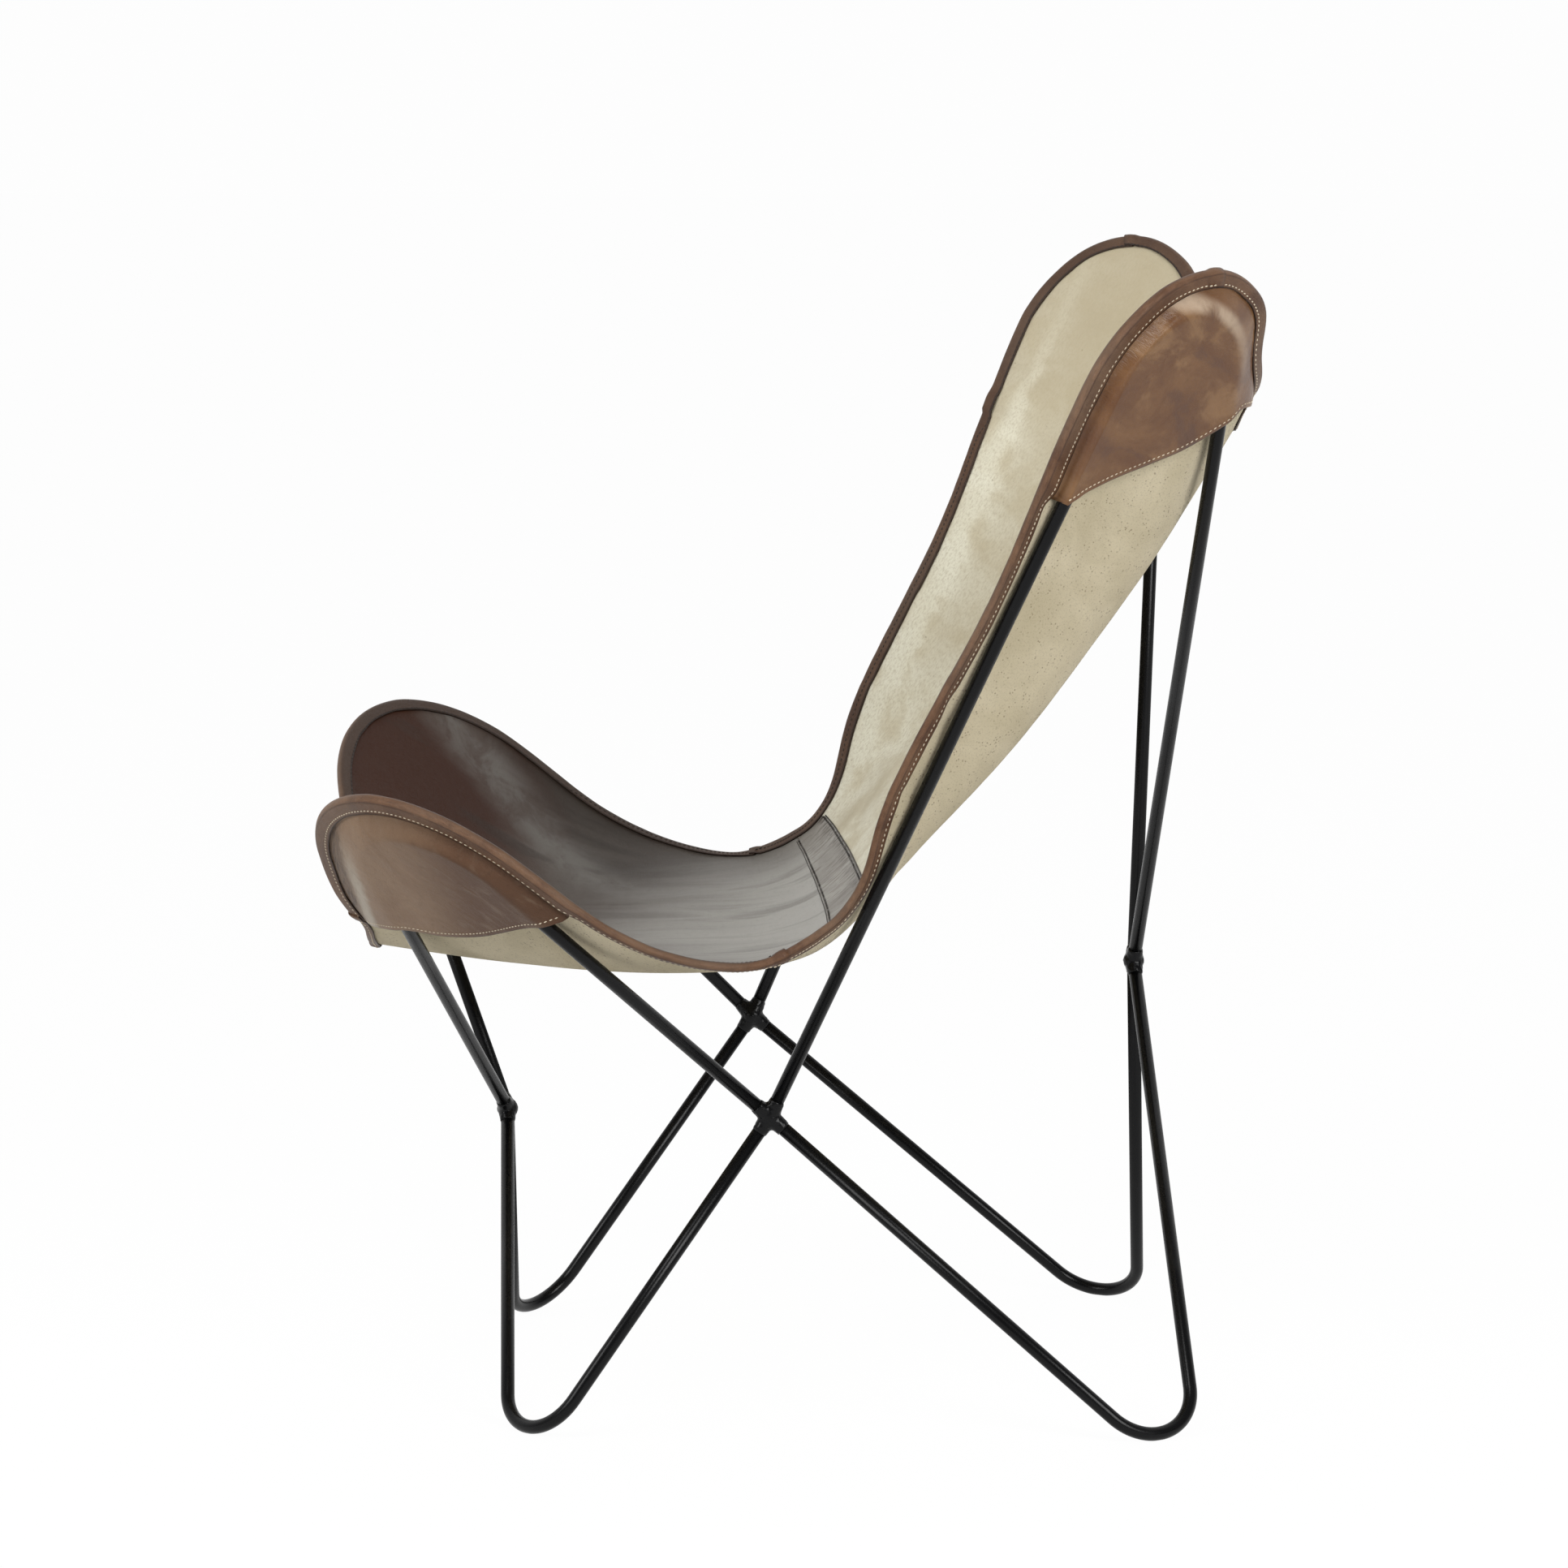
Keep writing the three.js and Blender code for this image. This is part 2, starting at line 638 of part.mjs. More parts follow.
// One layer of the sling between two rows, out to the edge that the binding folds round
const edgeInset = bindingThickness + clearance;
function layer(fromRow, toRow, bottom, thickness) {
  const low = [];
  const high = [];
  const quads = [];
  const gap = clearance / 2;
  const seamShift = (row) => {
    if (row === fromRow && row > 0) return gap;
    if (row === toRow && row < rows) return -gap;
    return 0;
  };
  const shifted = (place, row) => new THREE.Vector2(place.x, place.y + seamShift(row));
  for (let row = fromRow; row <= toRow; row += 1) {
    for (const place of inside[row]) {
      low.push(layerPoint(shifted(place, row), bottom));
      high.push(layerPoint(shifted(place, row), bottom + thickness));
    }
  }
  const at = (row, column) => (row - fromRow) * acrossCount + column;
  for (let row = fromRow; row < toRow; row += 1) {
    for (let column = 0; column < acrossCount - 1; column += 1) {
      const quad = [at(row, column), at(row, column + 1), at(row + 1, column + 1), at(row + 1, column)];
      quads.push(column < columns ? turned(quad) : quad);
    }
  }
  const edgeOf = new Map();
  const edgeVertex = (k) => {
    const { row } = ringPlace(k);
    const key = rimIndex(k);
    if (!edgeOf.has(key)) {
      edgeOf.set(key, low.length);
      const nudge = vector(0, 0, 0);
      if (seamShift(row)) {
        const place = ringPlace(k).outer;
        nudge.copy(layerPoint(shifted(place, row), bottom)).sub(layerPoint(place, bottom));
      }
      low.push(hemPoint(k, edgeInset, bottom).add(nudge));
      high.push(hemPoint(k, edgeInset, bottom + thickness).add(nudge));
    }
    return edgeOf.get(key);
  };
  for (let k = 0; k < outline.length; k += 1) {
    const here = ringPlace(k);
    const next = ringPlace(k + 1);
    if (Math.min(here.row, next.row) < fromRow || Math.max(here.row, next.row) > toRow) continue;
    if (here.row === next.row && here.row !== 0 && here.row !== rows) continue;
    const quad = [edgeVertex(k), edgeVertex(k + 1), at(next.row, next.column), at(here.row, here.column)];
    quads.push(onLeft(k) ? turned(quad) : quad);
  }
  return sheetGeometry(low, high, quads);
}

const panelBottom = liningThickness + clearance;
const seatEnd = seatRows;
const bandTop = seatRows + bandRows;
addPart('outer_canvas', layer(0, rows, 0, liningThickness), canvasColour, 0.95, 0);
addPart('seat_leather', layer(0, seatEnd, panelBottom, panelThickness), seatLeatherColour, 0.5, 0);
addPart('lap_band', layer(seatEnd, bandTop, panelBottom, panelThickness), bandLeatherColour, 0.5, 0);
addPart('back_canvas', layer(bandTop, rows, panelBottom, panelThickness), innerCanvasColour, 0.95, 0);

// The binding, a strip of leather folded round the edge of all layers and sewn through
function loft(sections, inward, mirrored) {
  const size = sections[0].length;
  const points = sections.flat();
  const triangles = [];
  for (let i = 0; i < sections.length - 1; i += 1) {
    for (let j = 0; j < size; j += 1) {
      const [a, b] = [i * size + j, i * size + ((j + 1) % size)];
      const [c, d] = [b + size, a + size];
      if (inward[j] !== mirrored(i)) triangles.push([a, c, b], [a, d, c]);
      else triangles.push([a, d, b], [b, d, c]);
    }
  }
  const cap = (start, flip) => {
    const corner = (j) => start + j;
    const faces = [[0, 1, 6], [0, 6, 7], [1, 2, 5], [1, 5, 6], [2, 3, 4], [2, 4, 5]];
    for (const [a, b, c] of faces) {
      triangles.push(flip ? [corner(a), corner(c), corner(b)] : [corner(a), corner(b), corner(c)]);
    }
  };
  cap(0, false);
  cap((sections.length - 1) * size, true);
  return toGeometry(points, triangles);
}

const stackTop = panelBottom + panelThickness;
const bindingSides = [false, true, true, false, false, true, true, true];
function bindingSection(k, shift) {
  const outerLeg = -bindingEase - bindingThickness;
  const innerLeg = stackTop + bindingEase + bindingThickness;
  const corners = [
    [bindingWidth, outerLeg], [0, outerLeg], [0, innerLeg], [bindingWidth, innerLeg],
    [bindingWidth, stackTop + bindingEase], [bindingThickness, stackTop + bindingEase],
    [bindingThickness, -bindingEase], [bindingWidth, -bindingEase],
  ];
  return corners.map(([inset, offset]) => {
    const here = hemPoint(k, inset, offset);
    if (!shift) return here;
    const next = hemPoint(k + Math.sign(shift), inset, offset);
    return here.add(next.sub(here).setLength(Math.abs(shift)));
  });
}

function binding(first, last) {
  const sections = [];
  for (let k = first; k <= last; k += 1) {
    let shift = 0;
    if (k === first) shift = clearance / 2;
    if (k === last) shift = -clearance / 2;
    sections.push(bindingSection(k, shift));
  }
  return loft(sections, bindingSides, (i) => onLeft(first + i));
}

const frontJoint = Math.round(columns / 3);
const seatJoint = columns + seatRows - 1;
const rearJoint = columns + rows + 1;
const rimCount = outline.length;
const bindings = {
  front_edge_binding: [-frontJoint, frontJoint],
  right_seat_binding: [frontJoint, seatJoint],
  right_back_binding: [seatJoint, rearJoint],
  rear_edge_binding: [rearJoint, rimCount - rearJoint],
  left_back_binding: [rimCount - rearJoint, rimCount - seatJoint],
  left_seat_binding: [rimCount - seatJoint, rimCount - frontJoint],
};
for (const [name, [first, last]] of Object.entries(bindings)) {
  addPart(name, binding(first, last), tanLeatherColour, 0.55, 0);
}

// A pocket: leather sewn to the tongue inside its binding, stretched over the rod that it
// holds, and open at its mouth, where the rod's two legs come out
function beyondRod(loop, lateral, axial) {
  const away = Math.hypot(lateral, axial);
  const off = Math.acos(axial / away) - loop.halfSweep;
  return away * Math.cos(Math.max(off, 0)) - loop.bendRadius;
}

// Where the rim comes level with a mouth's end, stepping along the rim from one place to another
function rimLevel(tongue, level, from, to) {
  const height = (place) => {
    const point = rim.getPoint(place / rimSpans);
    return drape(point.x, point.y).sub(tongue.loop.centre).dot(tongue.loop.axis) + tongue.drop;
  };
  let place = from;
  const step = (to - from) / crestSteps;
  while (Math.abs(place - to) > Math.abs(step) && height(place) < level) place += step;
  return place;
}

function pocket(tongue, mirror) {
  const { loop, mouthShares } = tongue;
  const level = (share) => share[1] * tongue.radius;
  const first = rimLevel(tongue, level(mouthShares[0]), ...tongue.outerSearch);
  const last = rimLevel(tongue, level(mouthShares.at(-1)), ...tongue.innerSearch);
  const seam = insetLine(divideRim(first, last, pocketColumns), Math.sign(last - first) * pocketInset);
  const lips = mouthShares.slice(1, -1).map(([lateral, axial]) => patternOf(onEarPlane(loop,
    lateral * tongue.radius - tongue.shift, axial * tongue.radius - tongue.drop)));
  const mouth = new THREE.SplineCurve([seam[0], ...lips, seam.at(-1)]);
  const depth = restLift + rodRadius + clearance;
  const low = [];
  const high = [];
  const quads = [];
  const study = (place) => {
    const { point, normal } = stack(place);
    const from = point.clone().sub(loop.centre);
    const lateral = from.dot(loop.lateral);
    const axial = from.dot(loop.axis);
    const beyond = Math.max(beyondRod(loop, lateral, axial) - rodRadius - pocketEase, 0);
    const under = point.clone().addScaledVector(normal, -pocketGap);
    const over = onEarPlane(loop, lateral, axial).addScaledVector(loop.normal, -depth);
    return { beyond, under, over, normal };
  };
  const overRod = (from, to) => {
    let share = from;
    const step = (to - from) / crestSteps;
    while (Math.abs(share - to) > Math.abs(step) && study(mouth.getPoint(share)).beyond > 0) {
      share += step;
    }
    return share;
  };
  const outerLeg = overRod(0, 0.5);
  const innerLeg = overRod(1, 0.5);
  const mouthShare = (j) => {
    if (j === 0 || j === pocketColumns) return j / pocketColumns;
    return outerLeg + ((innerLeg - outerLeg) * (j - 1)) / (pocketColumns - 2);
  };
  for (let j = 0; j <= pocketColumns; j += 1) {
    const open = mouth.getPoint(mouthShare(j));
    let crest = 1;
    while (crest > 0 && study(open.clone().lerp(seam[j], crest)).beyond > 0) crest -= 1 / crestSteps;
    for (let i = 0; i <= pocketRows; i += 1) {
      const share = i === pocketRows ? 1 : (Math.max(crest, 0) * i) / (pocketRows - 1);
      const flat = open.clone().lerp(seam[j], share);
      const { beyond, under, over, normal } = study(flat);
      const toSeam = Math.min(...seam.map((place) => place.distanceTo(flat)));
      const swell = toSeam / (toSeam + beyond + Number.EPSILON);
      const inner = under.lerp(over, swell);
      high.push(inner);
      low.push(inner.clone().addScaledVector(normal.clone().lerp(loop.normal, swell), -pocketThickness));
    }
  }
  const at = (i, j) => {
    if (j === 0) return pocketRows;
    if (j === pocketColumns) return j * (pocketRows + 1) + pocketRows;
    return j * (pocketRows + 1) + i;
  };
  for (let i = 0; i < pocketRows; i += 1) {
    for (let j = 0; j < pocketColumns; j += 1) {
      quads.push([at(i, j), at(i, j + 1), at(i + 1, j + 1), at(i + 1, j)]);
    }
  }
  const handed = loop.lateral.clone().cross(loop.axis).dot(loop.normal) > 0;
  const place = (point) => vector(mirror ? -point.x : point.x, point.y, point.z);
  const faces = handed !== mirror ? quads.map(([a, b, c, d]) => [a, d, c, b]) : quads;
  return sheetGeometry(low.map(place), high.map(place), faces);
}

Object.assign(frontTongue, {
  outerSearch: [rimPlace(sideRim[0]), rimPlace(frontCorner)],
  innerSearch: [rimPlace(frontRim[0]) - 1, rimPlace(frontCorner)],
});
Object.assign(rearTongue, {
  outerSearch: [rimPlace(sideRim.at(-1)) - 1, rimPlace(rearCorner)],
  innerSearch: [rimPlace(rearRim.at(-1)) + 1, rimPlace(rearCorner)],
});
for (const [hand, mirror] of [['right', false], ['left', true]]) {
  addPart(`front_${hand}_pocket`, pocket(frontTongue, mirror), tanLeatherColour, 0.45, 0);
  addPart(`rear_${hand}_pocket`, pocket(rearTongue, mirror), tanLeatherColour, 0.45, 0);
}

// The origin is on the floor, midway between the chair's foremost and rearmost points
const box = new THREE.Box3().setFromObject(chair);
chair.position.y = -(box.min.y + box.max.y) / 2;
chair.position.z = -footWear;

export default chair;
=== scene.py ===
import math

import bmesh
import bpy
import numpy as np
from mathutils import Matrix, Vector, noise


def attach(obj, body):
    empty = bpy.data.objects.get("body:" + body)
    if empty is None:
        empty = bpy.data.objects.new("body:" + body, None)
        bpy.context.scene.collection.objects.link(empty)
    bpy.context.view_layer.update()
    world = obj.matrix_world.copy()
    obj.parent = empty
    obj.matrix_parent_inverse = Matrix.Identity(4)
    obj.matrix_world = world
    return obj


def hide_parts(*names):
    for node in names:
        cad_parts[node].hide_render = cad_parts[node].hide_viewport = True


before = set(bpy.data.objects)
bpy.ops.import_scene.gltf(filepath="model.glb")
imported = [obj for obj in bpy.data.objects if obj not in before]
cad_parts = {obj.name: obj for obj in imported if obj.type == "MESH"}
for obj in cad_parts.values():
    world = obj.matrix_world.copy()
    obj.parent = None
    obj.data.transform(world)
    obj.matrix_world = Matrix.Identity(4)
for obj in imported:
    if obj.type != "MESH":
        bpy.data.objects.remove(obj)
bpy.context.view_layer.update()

# The photograph's camera: a little higher than the chair and five metres from its left side,
# slightly in front of its middle, with a long lens that looks a little down.
photo_width = 1932
focal_pixels = 7455.53
optical_centre = (976.634, 927.126)
sensor_width = 36
camera_distance = 4.9544
camera_turn = 0.0347176
camera_dip = 0.1241814
camera_roll = 0.0008848
aim_point = Vector((0, 0.0107357, 0.5131))
looking = Vector((
    -math.cos(camera_turn) * math.cos(camera_dip),
    math.sin(camera_turn) * math.cos(camera_dip),
    -math.sin(camera_dip),
))
level_right = Vector((math.sin(camera_turn), math.cos(camera_turn), 0))
camera_axes = Matrix((level_right, level_right.cross(looking), -looking)).transposed()
camera_data = bpy.data.cameras.new("photo_camera")
camera_data.sensor_width = sensor_width
camera_data.lens = sensor_width * focal_pixels / photo_width
camera_data.shift_x = 0.5 - optical_centre[0] / photo_width
camera_data.shift_y = optical_centre[1] / photo_width - 0.5
camera_data.clip_end = 100
camera = bpy.data.objects.new("photo_camera", camera_data)
bpy.context.scene.collection.objects.link(camera)
camera.matrix_world = (
    Matrix.Translation(aim_point - looking * camera_distance)
    @ camera_axes.to_4x4()
    @ Matrix.Rotation(-camera_roll, 4, "Z")
)
bpy.context.scene.camera = camera
bpy.context.scene.view_settings.view_transform = "Standard"


# The studio: a seamless white floor and backdrop behind the chair, a dim room on the side
# where the camera stands, and three wide soft lights, above and beside the chair.
class Value:
    """A socket of a finish. Arithmetic on it adds the Math nodes that work it out."""

    def __init__(self, finish, socket):
        self.finish = finish
        self.socket = socket

    def maths(self, operation, *values):
        return self.finish.node("ShaderNodeMath", dict(enumerate(values)), operation=operation)

    def __add__(self, other):
        return self.maths("ADD", self, other)

    def __sub__(self, other):
        return self.maths("SUBTRACT", self, other)

    def __rsub__(self, other):
        return self.maths("SUBTRACT", other, self)

    def __mul__(self, other):
        return self.maths("MULTIPLY", self, other)

    def __truediv__(self, other):
        return self.maths("DIVIDE", self, other)

    def __pow__(self, other):
        return self.maths("POWER", self, other)

    __radd__ = __add__
    __rmul__ = __mul__

    def sine(self):
        return self.maths("SINE", self)

    def size(self):
        return self.maths("ABSOLUTE", self)

    def most(self, other):
        return self.maths("MAXIMUM", self, other)

    def between(self, low, high):
        """0 below low, 1 above high, and a smooth step from one to the other"""
        return self.finish.node(
            "ShaderNodeMapRange", {"Value": self, "From Min": low, "From Max": high},
            interpolation_type="SMOOTHSTEP")


class Finish:
    """A material that is being mixed. node() adds any node, with its settings and inputs."""

    def __init__(self, name, tree=None):
        if tree is None:
            self.material = bpy.data.materials.new(name)
            self.material.use_nodes = True
            tree = self.material.node_tree
        self.tree = tree
        self.tree.nodes.clear()

    def node(self, kind, inputs=(), output=0, **settings):
        made = self.tree.nodes.new(kind)
        for name, value in settings.items():
            setattr(made, name, value)
        for name, value in dict(inputs).items():
            if isinstance(value, Value):
                self.tree.links.new(value.socket, made.inputs[name])
            else:
                made.inputs[name].default_value = value
        return Value(self, made.outputs[output]) if made.outputs else made

    def cut_place(self):
        """The place on the flat cut of a piece of cloth or leather, in metres"""
        return self.node("ShaderNodeUVMap", uv_map="cut")

    def object_place(self):
        return self.node("ShaderNodeTexCoord", output="Object")

    def stretched(self, place, across, along, above=1):
        return self.node("ShaderNodeVectorMath", {0: place, 1: (across, along, above)},
                         operation="MULTIPLY")

    def cloud(self, place, size, detail=3, roughness=0.5, distortion=0):
        """Soft noise from 0 to 1 whose lumps are about size metres across"""
        return self.node("ShaderNodeTexNoise", {
            "Vector": place, "Scale": 1 / size, "Detail": detail,
            "Roughness": roughness, "Distortion": distortion})

    def cells(self, place, size, feature="F1"):
        return self.node("ShaderNodeTexVoronoi", {"Vector": place, "Scale": 1 / size},
                         feature=feature)

    def parts(self, place):
        """The first two numbers of a place"""
        parted = self.node("ShaderNodeSeparateXYZ", {0: place})
        return parted, Value(self, parted.socket.node.outputs[1])

    def tint(self, share, first, second):
        """One colour turning into another"""
        return self.node("ShaderNodeMix", {"Factor": share, 6: first, 7: second}, output=2,
                         data_type="RGBA")

    def raised(self, height, depth):
        """A Bump node, for a height whose full range stands for depth metres"""
        return self.node("ShaderNodeBump", {"Height": height, "Distance": depth, "Strength": 1})

    def surface(self, inputs):
        shader = self.node("ShaderNodeBsdfPrincipled", inputs)
        self.node("ShaderNodeOutputMaterial", {"Surface": shader})
        return self.material


def rgba(red, green, blue):
    return (red, green, blue, 1)


white = rgba(1, 1, 1)
backdrop_glow = 1
dim_side_glow = 0.16
floor_paleness = 0.95
floor_glow = 1.02
sky_glow = 0.984
floor_grey = rgba(0.6, 0.6, 0.6)
floor_span = 60
backdrop_ends_at = -0.7
dim_side_starts_at = 0.15


def seen_directly(finish):
    """1 for what the camera sees, and for what shines or passes through things, else 0"""
    camera_ray = finish.node("ShaderNodeLightPath", output="Is Camera Ray")
    outputs = camera_ray.socket.node.outputs
    glossy = Value(finish, outputs["Is Glossy Ray"])
    through = Value(finish, outputs["Is Transmission Ray"])
    return camera_ray, glossy.most(through)


world = bpy.data.worlds.new("white_room")
bpy.context.scene.world = world
world.use_nodes = True
room = Finish("white_room", world.node_tree)
direction = room.node("ShaderNodeTexCoord", output="Generated")
behind_chair = 1 - room.parts(direction)[0].between(backdrop_ends_at, dim_side_starts_at)
room_light = behind_chair * (backdrop_glow - dim_side_glow) + dim_side_glow
seen, reflected = seen_directly(room)
seen = seen.most(reflected * behind_chair)
glow = room.node("ShaderNodeBackground", {
    "Color": white, "Strength": (1 - seen) * room_light + seen * sky_glow})
room.node("ShaderNodeOutputWorld", {"Surface": glow})

floor_shape = bmesh.new()
bmesh.ops.create_grid(floor_shape, x_segments=1, y_segments=1, size=floor_span / 2)
floor_mesh = bpy.data.meshes.new("studio_floor")
floor_shape.to_mesh(floor_mesh)
floor_shape.free()
floor = bpy.data.objects.new("studio_floor", floor_mesh)
bpy.context.scene.collection.objects.link(floor)
paper = Finish("white_paper")
lit = paper.node("ShaderNodeBsdfDiffuse", {"Color": floor_grey})
bright = paper.node("ShaderNodeEmission", {"Color": white, "Strength": floor_glow})
seen, reflected = seen_directly(paper)
mixed = paper.node("ShaderNodeMixShader", {
    0: seen.most(reflected) * floor_paleness, 1: lit, 2: bright})
paper.node("ShaderNodeOutputMaterial", {"Surface": mixed})
floor_mesh.materials.append(paper.material)


def soft_light(name, place, target, size, watts):
    lamp = bpy.data.lights.new(name, "AREA")
    lamp.shape = "RECTANGLE"
    lamp.size, lamp.size_y = size
    lamp.energy = watts
    holder = bpy.data.objects.new(name, lamp)
    bpy.context.scene.collection.objects.link(holder)
    aim = (Vector(target) - Vector(place)).to_track_quat("-Z", "Y")
    holder.matrix_world = Matrix.LocRotScale(Vector(place), aim, None)


chair_middle = (0, 0, 0.5)
small_box = (1.1, 1.1)
large_box = (1.8, 1.6)
soft_light("overhead_softbox", (2.1, -0.6, 3.2), chair_middle, small_box, 34)
soft_light("camera_side_softbox", (3.1, 2, 1.9), chair_middle, large_box, 98)
soft_light("front_softbox", (1.9, -3.1, 1.9), chair_middle, large_box, 70)


# The frame: four feet and four ears of solid round steel rod, each bent once, welded where they
# meet at the two sides, the front and the rear, then coated black.
rod_radius = 0.0055
side_weld_at = (0.2387, -0.0266, 0.2554)
front_weld_at = (0, -0.2351, 0.2196)
rear_weld_at = (0, 0.281, 0.3394)
foot_bend_radius = 0.045
foot_wear = 0.0004
rear_shift = 0.0107357
rod_sides = 24
bend_steps = 40
side_weld_reach = 0.015
centre_weld_reach = 0.013
apexes = {
    "front_foot": ((0.224, -0.2193, rod_radius), foot_bend_radius),
    "rear_foot": ((0.2685, 0.278, rod_radius), foot_bend_radius),
    "front_ear": ((0.3118, -0.3089, 0.4876), 0.0676),
    "rear_ear": ((0.3306, 0.2959, 0.8865), 0.0612),
}
to_chair = Vector((0, rear_shift, -foot_wear))


class RodLoop:
    """One rod: straight from its side weld, round its bend, straight to the centre weld"""

    def __init__(self, kind, hand):
        apex, self.bend_radius = apexes[kind]
        mirror = Matrix.Diagonal((hand, 1, 1))
        self.side = mirror @ Vector(side_weld_at) + to_chair
        self.end = Vector(front_weld_at if "front" in kind else rear_weld_at) + to_chair
        apex = mirror @ Vector(apex) + to_chair
        self.normal = (self.side - apex).cross(self.end - apex).normalized()
        if self.normal.z < 0:
            self.normal.negate()
        steepest = (Vector((0, 0, 1)) - self.normal * self.normal.z).normalized()
        if "foot" in kind:
            steepest.negate()
        self.centre = apex - steepest * self.bend_radius
        self.side_tangent = self.touch(self.side, self.end)
        self.end_tangent = self.touch(self.end, self.side)
        self.axis = -((self.side - self.side_tangent).normalized()
                      + (self.end - self.end_tangent).normalized()).normalized()
        self.lateral = self.axis.cross(self.normal).normalized()
        if self.lateral.dot(self.side - self.end) < 0:
            self.lateral.negate()
        self.half_sweep = self.axis.angle(self.side_tangent - self.centre)

    def touch(self, start, away):
        """Where a straight leg from start meets the bend's circle, on the side far from away"""
        to_start = start - self.centre
        turn = math.acos(self.bend_radius / to_start.length)
        to_start.normalize()
        sideways = self.normal.cross(to_start)
        points = [self.centre + self.bend_radius * (
            to_start * math.cos(turn) + sideways * math.sin(turn) * way) for way in (1, -1)]
        return max(points, key=lambda point: (point - away).length)


hands = {"right": 1, "left": -1}
rods = {(kind, hand): RodLoop(kind, way) for hand, way in hands.items() for kind in apexes}

coating_black = rgba(0.003, 0.003, 0.0034)
coating_dust = rgba(0.012, 0.012, 0.0125)
coating_roughness = 0.22
coating_shine = 0.17
orange_peel_depth = 0.00005
coating = Finish("black_coating")
on_steel = coating.object_place()
orange_peel = coating.cloud(on_steel, 0.0018, 2, 0.4)
rubbed = coating.cloud(on_steel, 0.05, 5, 0.7).between(0.56, 0.8)
scuffs = coating.cloud(coating.stretched(on_steel, 1, 1, 0.4), 0.009, 3, 0.7).between(0.66, 0.74)
steel_coating = coating.surface({
    "Base Color": coating.tint(rubbed * 0.4 + scuffs * 0.35, coating_black, coating_dust),
    "Roughness": coating.cloud(on_steel, 0.02, 3, 0.6) * 0.1 + rubbed * 0.12 + coating_roughness,
    "Specular IOR Level": coating_shine,
    "Normal": coating.raised(orange_peel, orange_peel_depth),
})


def ring_of(shape, verts):
    """The edges that join some of a shape's corners to each other"""
    chosen = set(verts)
    return [edge for edge in shape.edges if chosen.issuperset(edge.verts)]


def drawn_out(shape, edges, move):
    """Draws a ring of edges out along a straight line"""
    made = bmesh.ops.extrude_edge_only(shape, edges=edges)["geom"]
    verts = [item for item in made if isinstance(item, bmesh.types.BMVert)]
    bmesh.ops.translate(shape, verts=verts, vec=move)
    return ring_of(shape, verts)


def finished(name, shape, material, slot, *replaced):
    """Makes a shape a piece of the chair, smooth, at the origin, and riding on its one body"""
    mesh = bpy.data.meshes.new(name)
    shape.to_mesh(mesh)
    shape.free()
    mesh.polygons.foreach_set("use_smooth", [True] * len(mesh.polygons))
    mesh.materials.append(material)
    piece = bpy.data.objects.new(name, mesh)
    bpy.context.scene.collection.objects.link(piece)
    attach(piece, "root")
    if replaced:
        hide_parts(*replaced)
    return piece


def round_rod(loop, standing):
    leg = (loop.side_tangent - loop.side).normalized()
    start = loop.side + leg * side_weld_reach
    finish = loop.end + (loop.end_tangent - loop.end).normalized() * centre_weld_reach
    placed = Matrix.LocRotScale(start, leg.to_track_quat("Z", "Y"), None)
    shape = bmesh.new()
    bmesh.ops.create_circle(shape, cap_ends=True, segments=rod_sides, radius=rod_radius,
                            matrix=placed)
    ring = drawn_out(shape, shape.edges[:], loop.side_tangent - start)
    first = loop.side_tangent - loop.centre
    turn_axis = first.cross(loop.axis).normalized()
    spun = bmesh.ops.spin(shape, geom=ring, cent=loop.centre, axis=turn_axis,
                          angle=2 * loop.half_sweep, steps=bend_steps)["geom_last"]
    ring = [item for item in spun if isinstance(item, bmesh.types.BMEdge)]
    ring = drawn_out(shape, ring, finish - loop.end_tangent)
    bmesh.ops.holes_fill(shape, edges=ring)
    bmesh.ops.recalc_face_normals(shape, faces=shape.faces)
    if standing:
        for vert in shape.verts:
            vert.co.z = max(vert.co.z, 0)
    return shape


for (kind, hand), loop in rods.items():
    end, purpose = kind.split("_")
    name = f"{end}_{hand}_{purpose}_rod"
    finished(f"round_{name}", round_rod(loop, purpose == "foot"), steel_coating,
             "frame_coating", name)


# The welds: at each crossing the four rod ends are run together by a puddle of weld, ground a
# little and coated with the rods, which leaves soft webs in the corners and a lumpy bead.
weld_bead = 0.0011
weld_root_radius = 0.0088
weld_grain = 0.001
weld_softening = 6
weld_softness = 0.5
weld_lump = 0.0022
weld_lump_height = 0.00035


def crossing_weld(name, point, tangents, reach):
    shape = bmesh.new()
    bmesh.ops.create_icosphere(shape, subdivisions=3, radius=weld_root_radius,
                               matrix=Matrix.Translation(point))
    for tangent in tangents:
        way = (tangent - point).normalized()
        placed = Matrix.LocRotScale(point + way * reach / 2, way.to_track_quat("Z", "Y"), None)
        bmesh.ops.create_cone(shape, cap_ends=True, segments=rod_sides, depth=reach,
                              radius1=rod_radius + weld_bead * 2,
                              radius2=rod_radius + weld_bead / 2, matrix=placed)
    piece = finished(name, shape, steel_coating, "frame_coating", name.removeprefix("run_"))
    melted = piece.modifiers.new("melted", "REMESH")
    melted.mode = "VOXEL"
    melted.voxel_size = weld_grain
    softened = piece.modifiers.new("softened", "SMOOTH")
    softened.factor = weld_softness
    softened.iterations = weld_softening
    bpy.context.view_layer.update()
    melted_piece = piece.evaluated_get(bpy.context.evaluated_depsgraph_get())
    mesh = bpy.data.meshes.new_from_object(melted_piece)
    piece.modifiers.clear()
    piece.data = mesh
    for vert in mesh.vertices:
        lump = noise.noise(vert.co / weld_lump) * weld_lump_height
        vert.co += vert.normal * lump
    mesh.polygons.foreach_set("use_smooth", [True] * len(mesh.polygons))


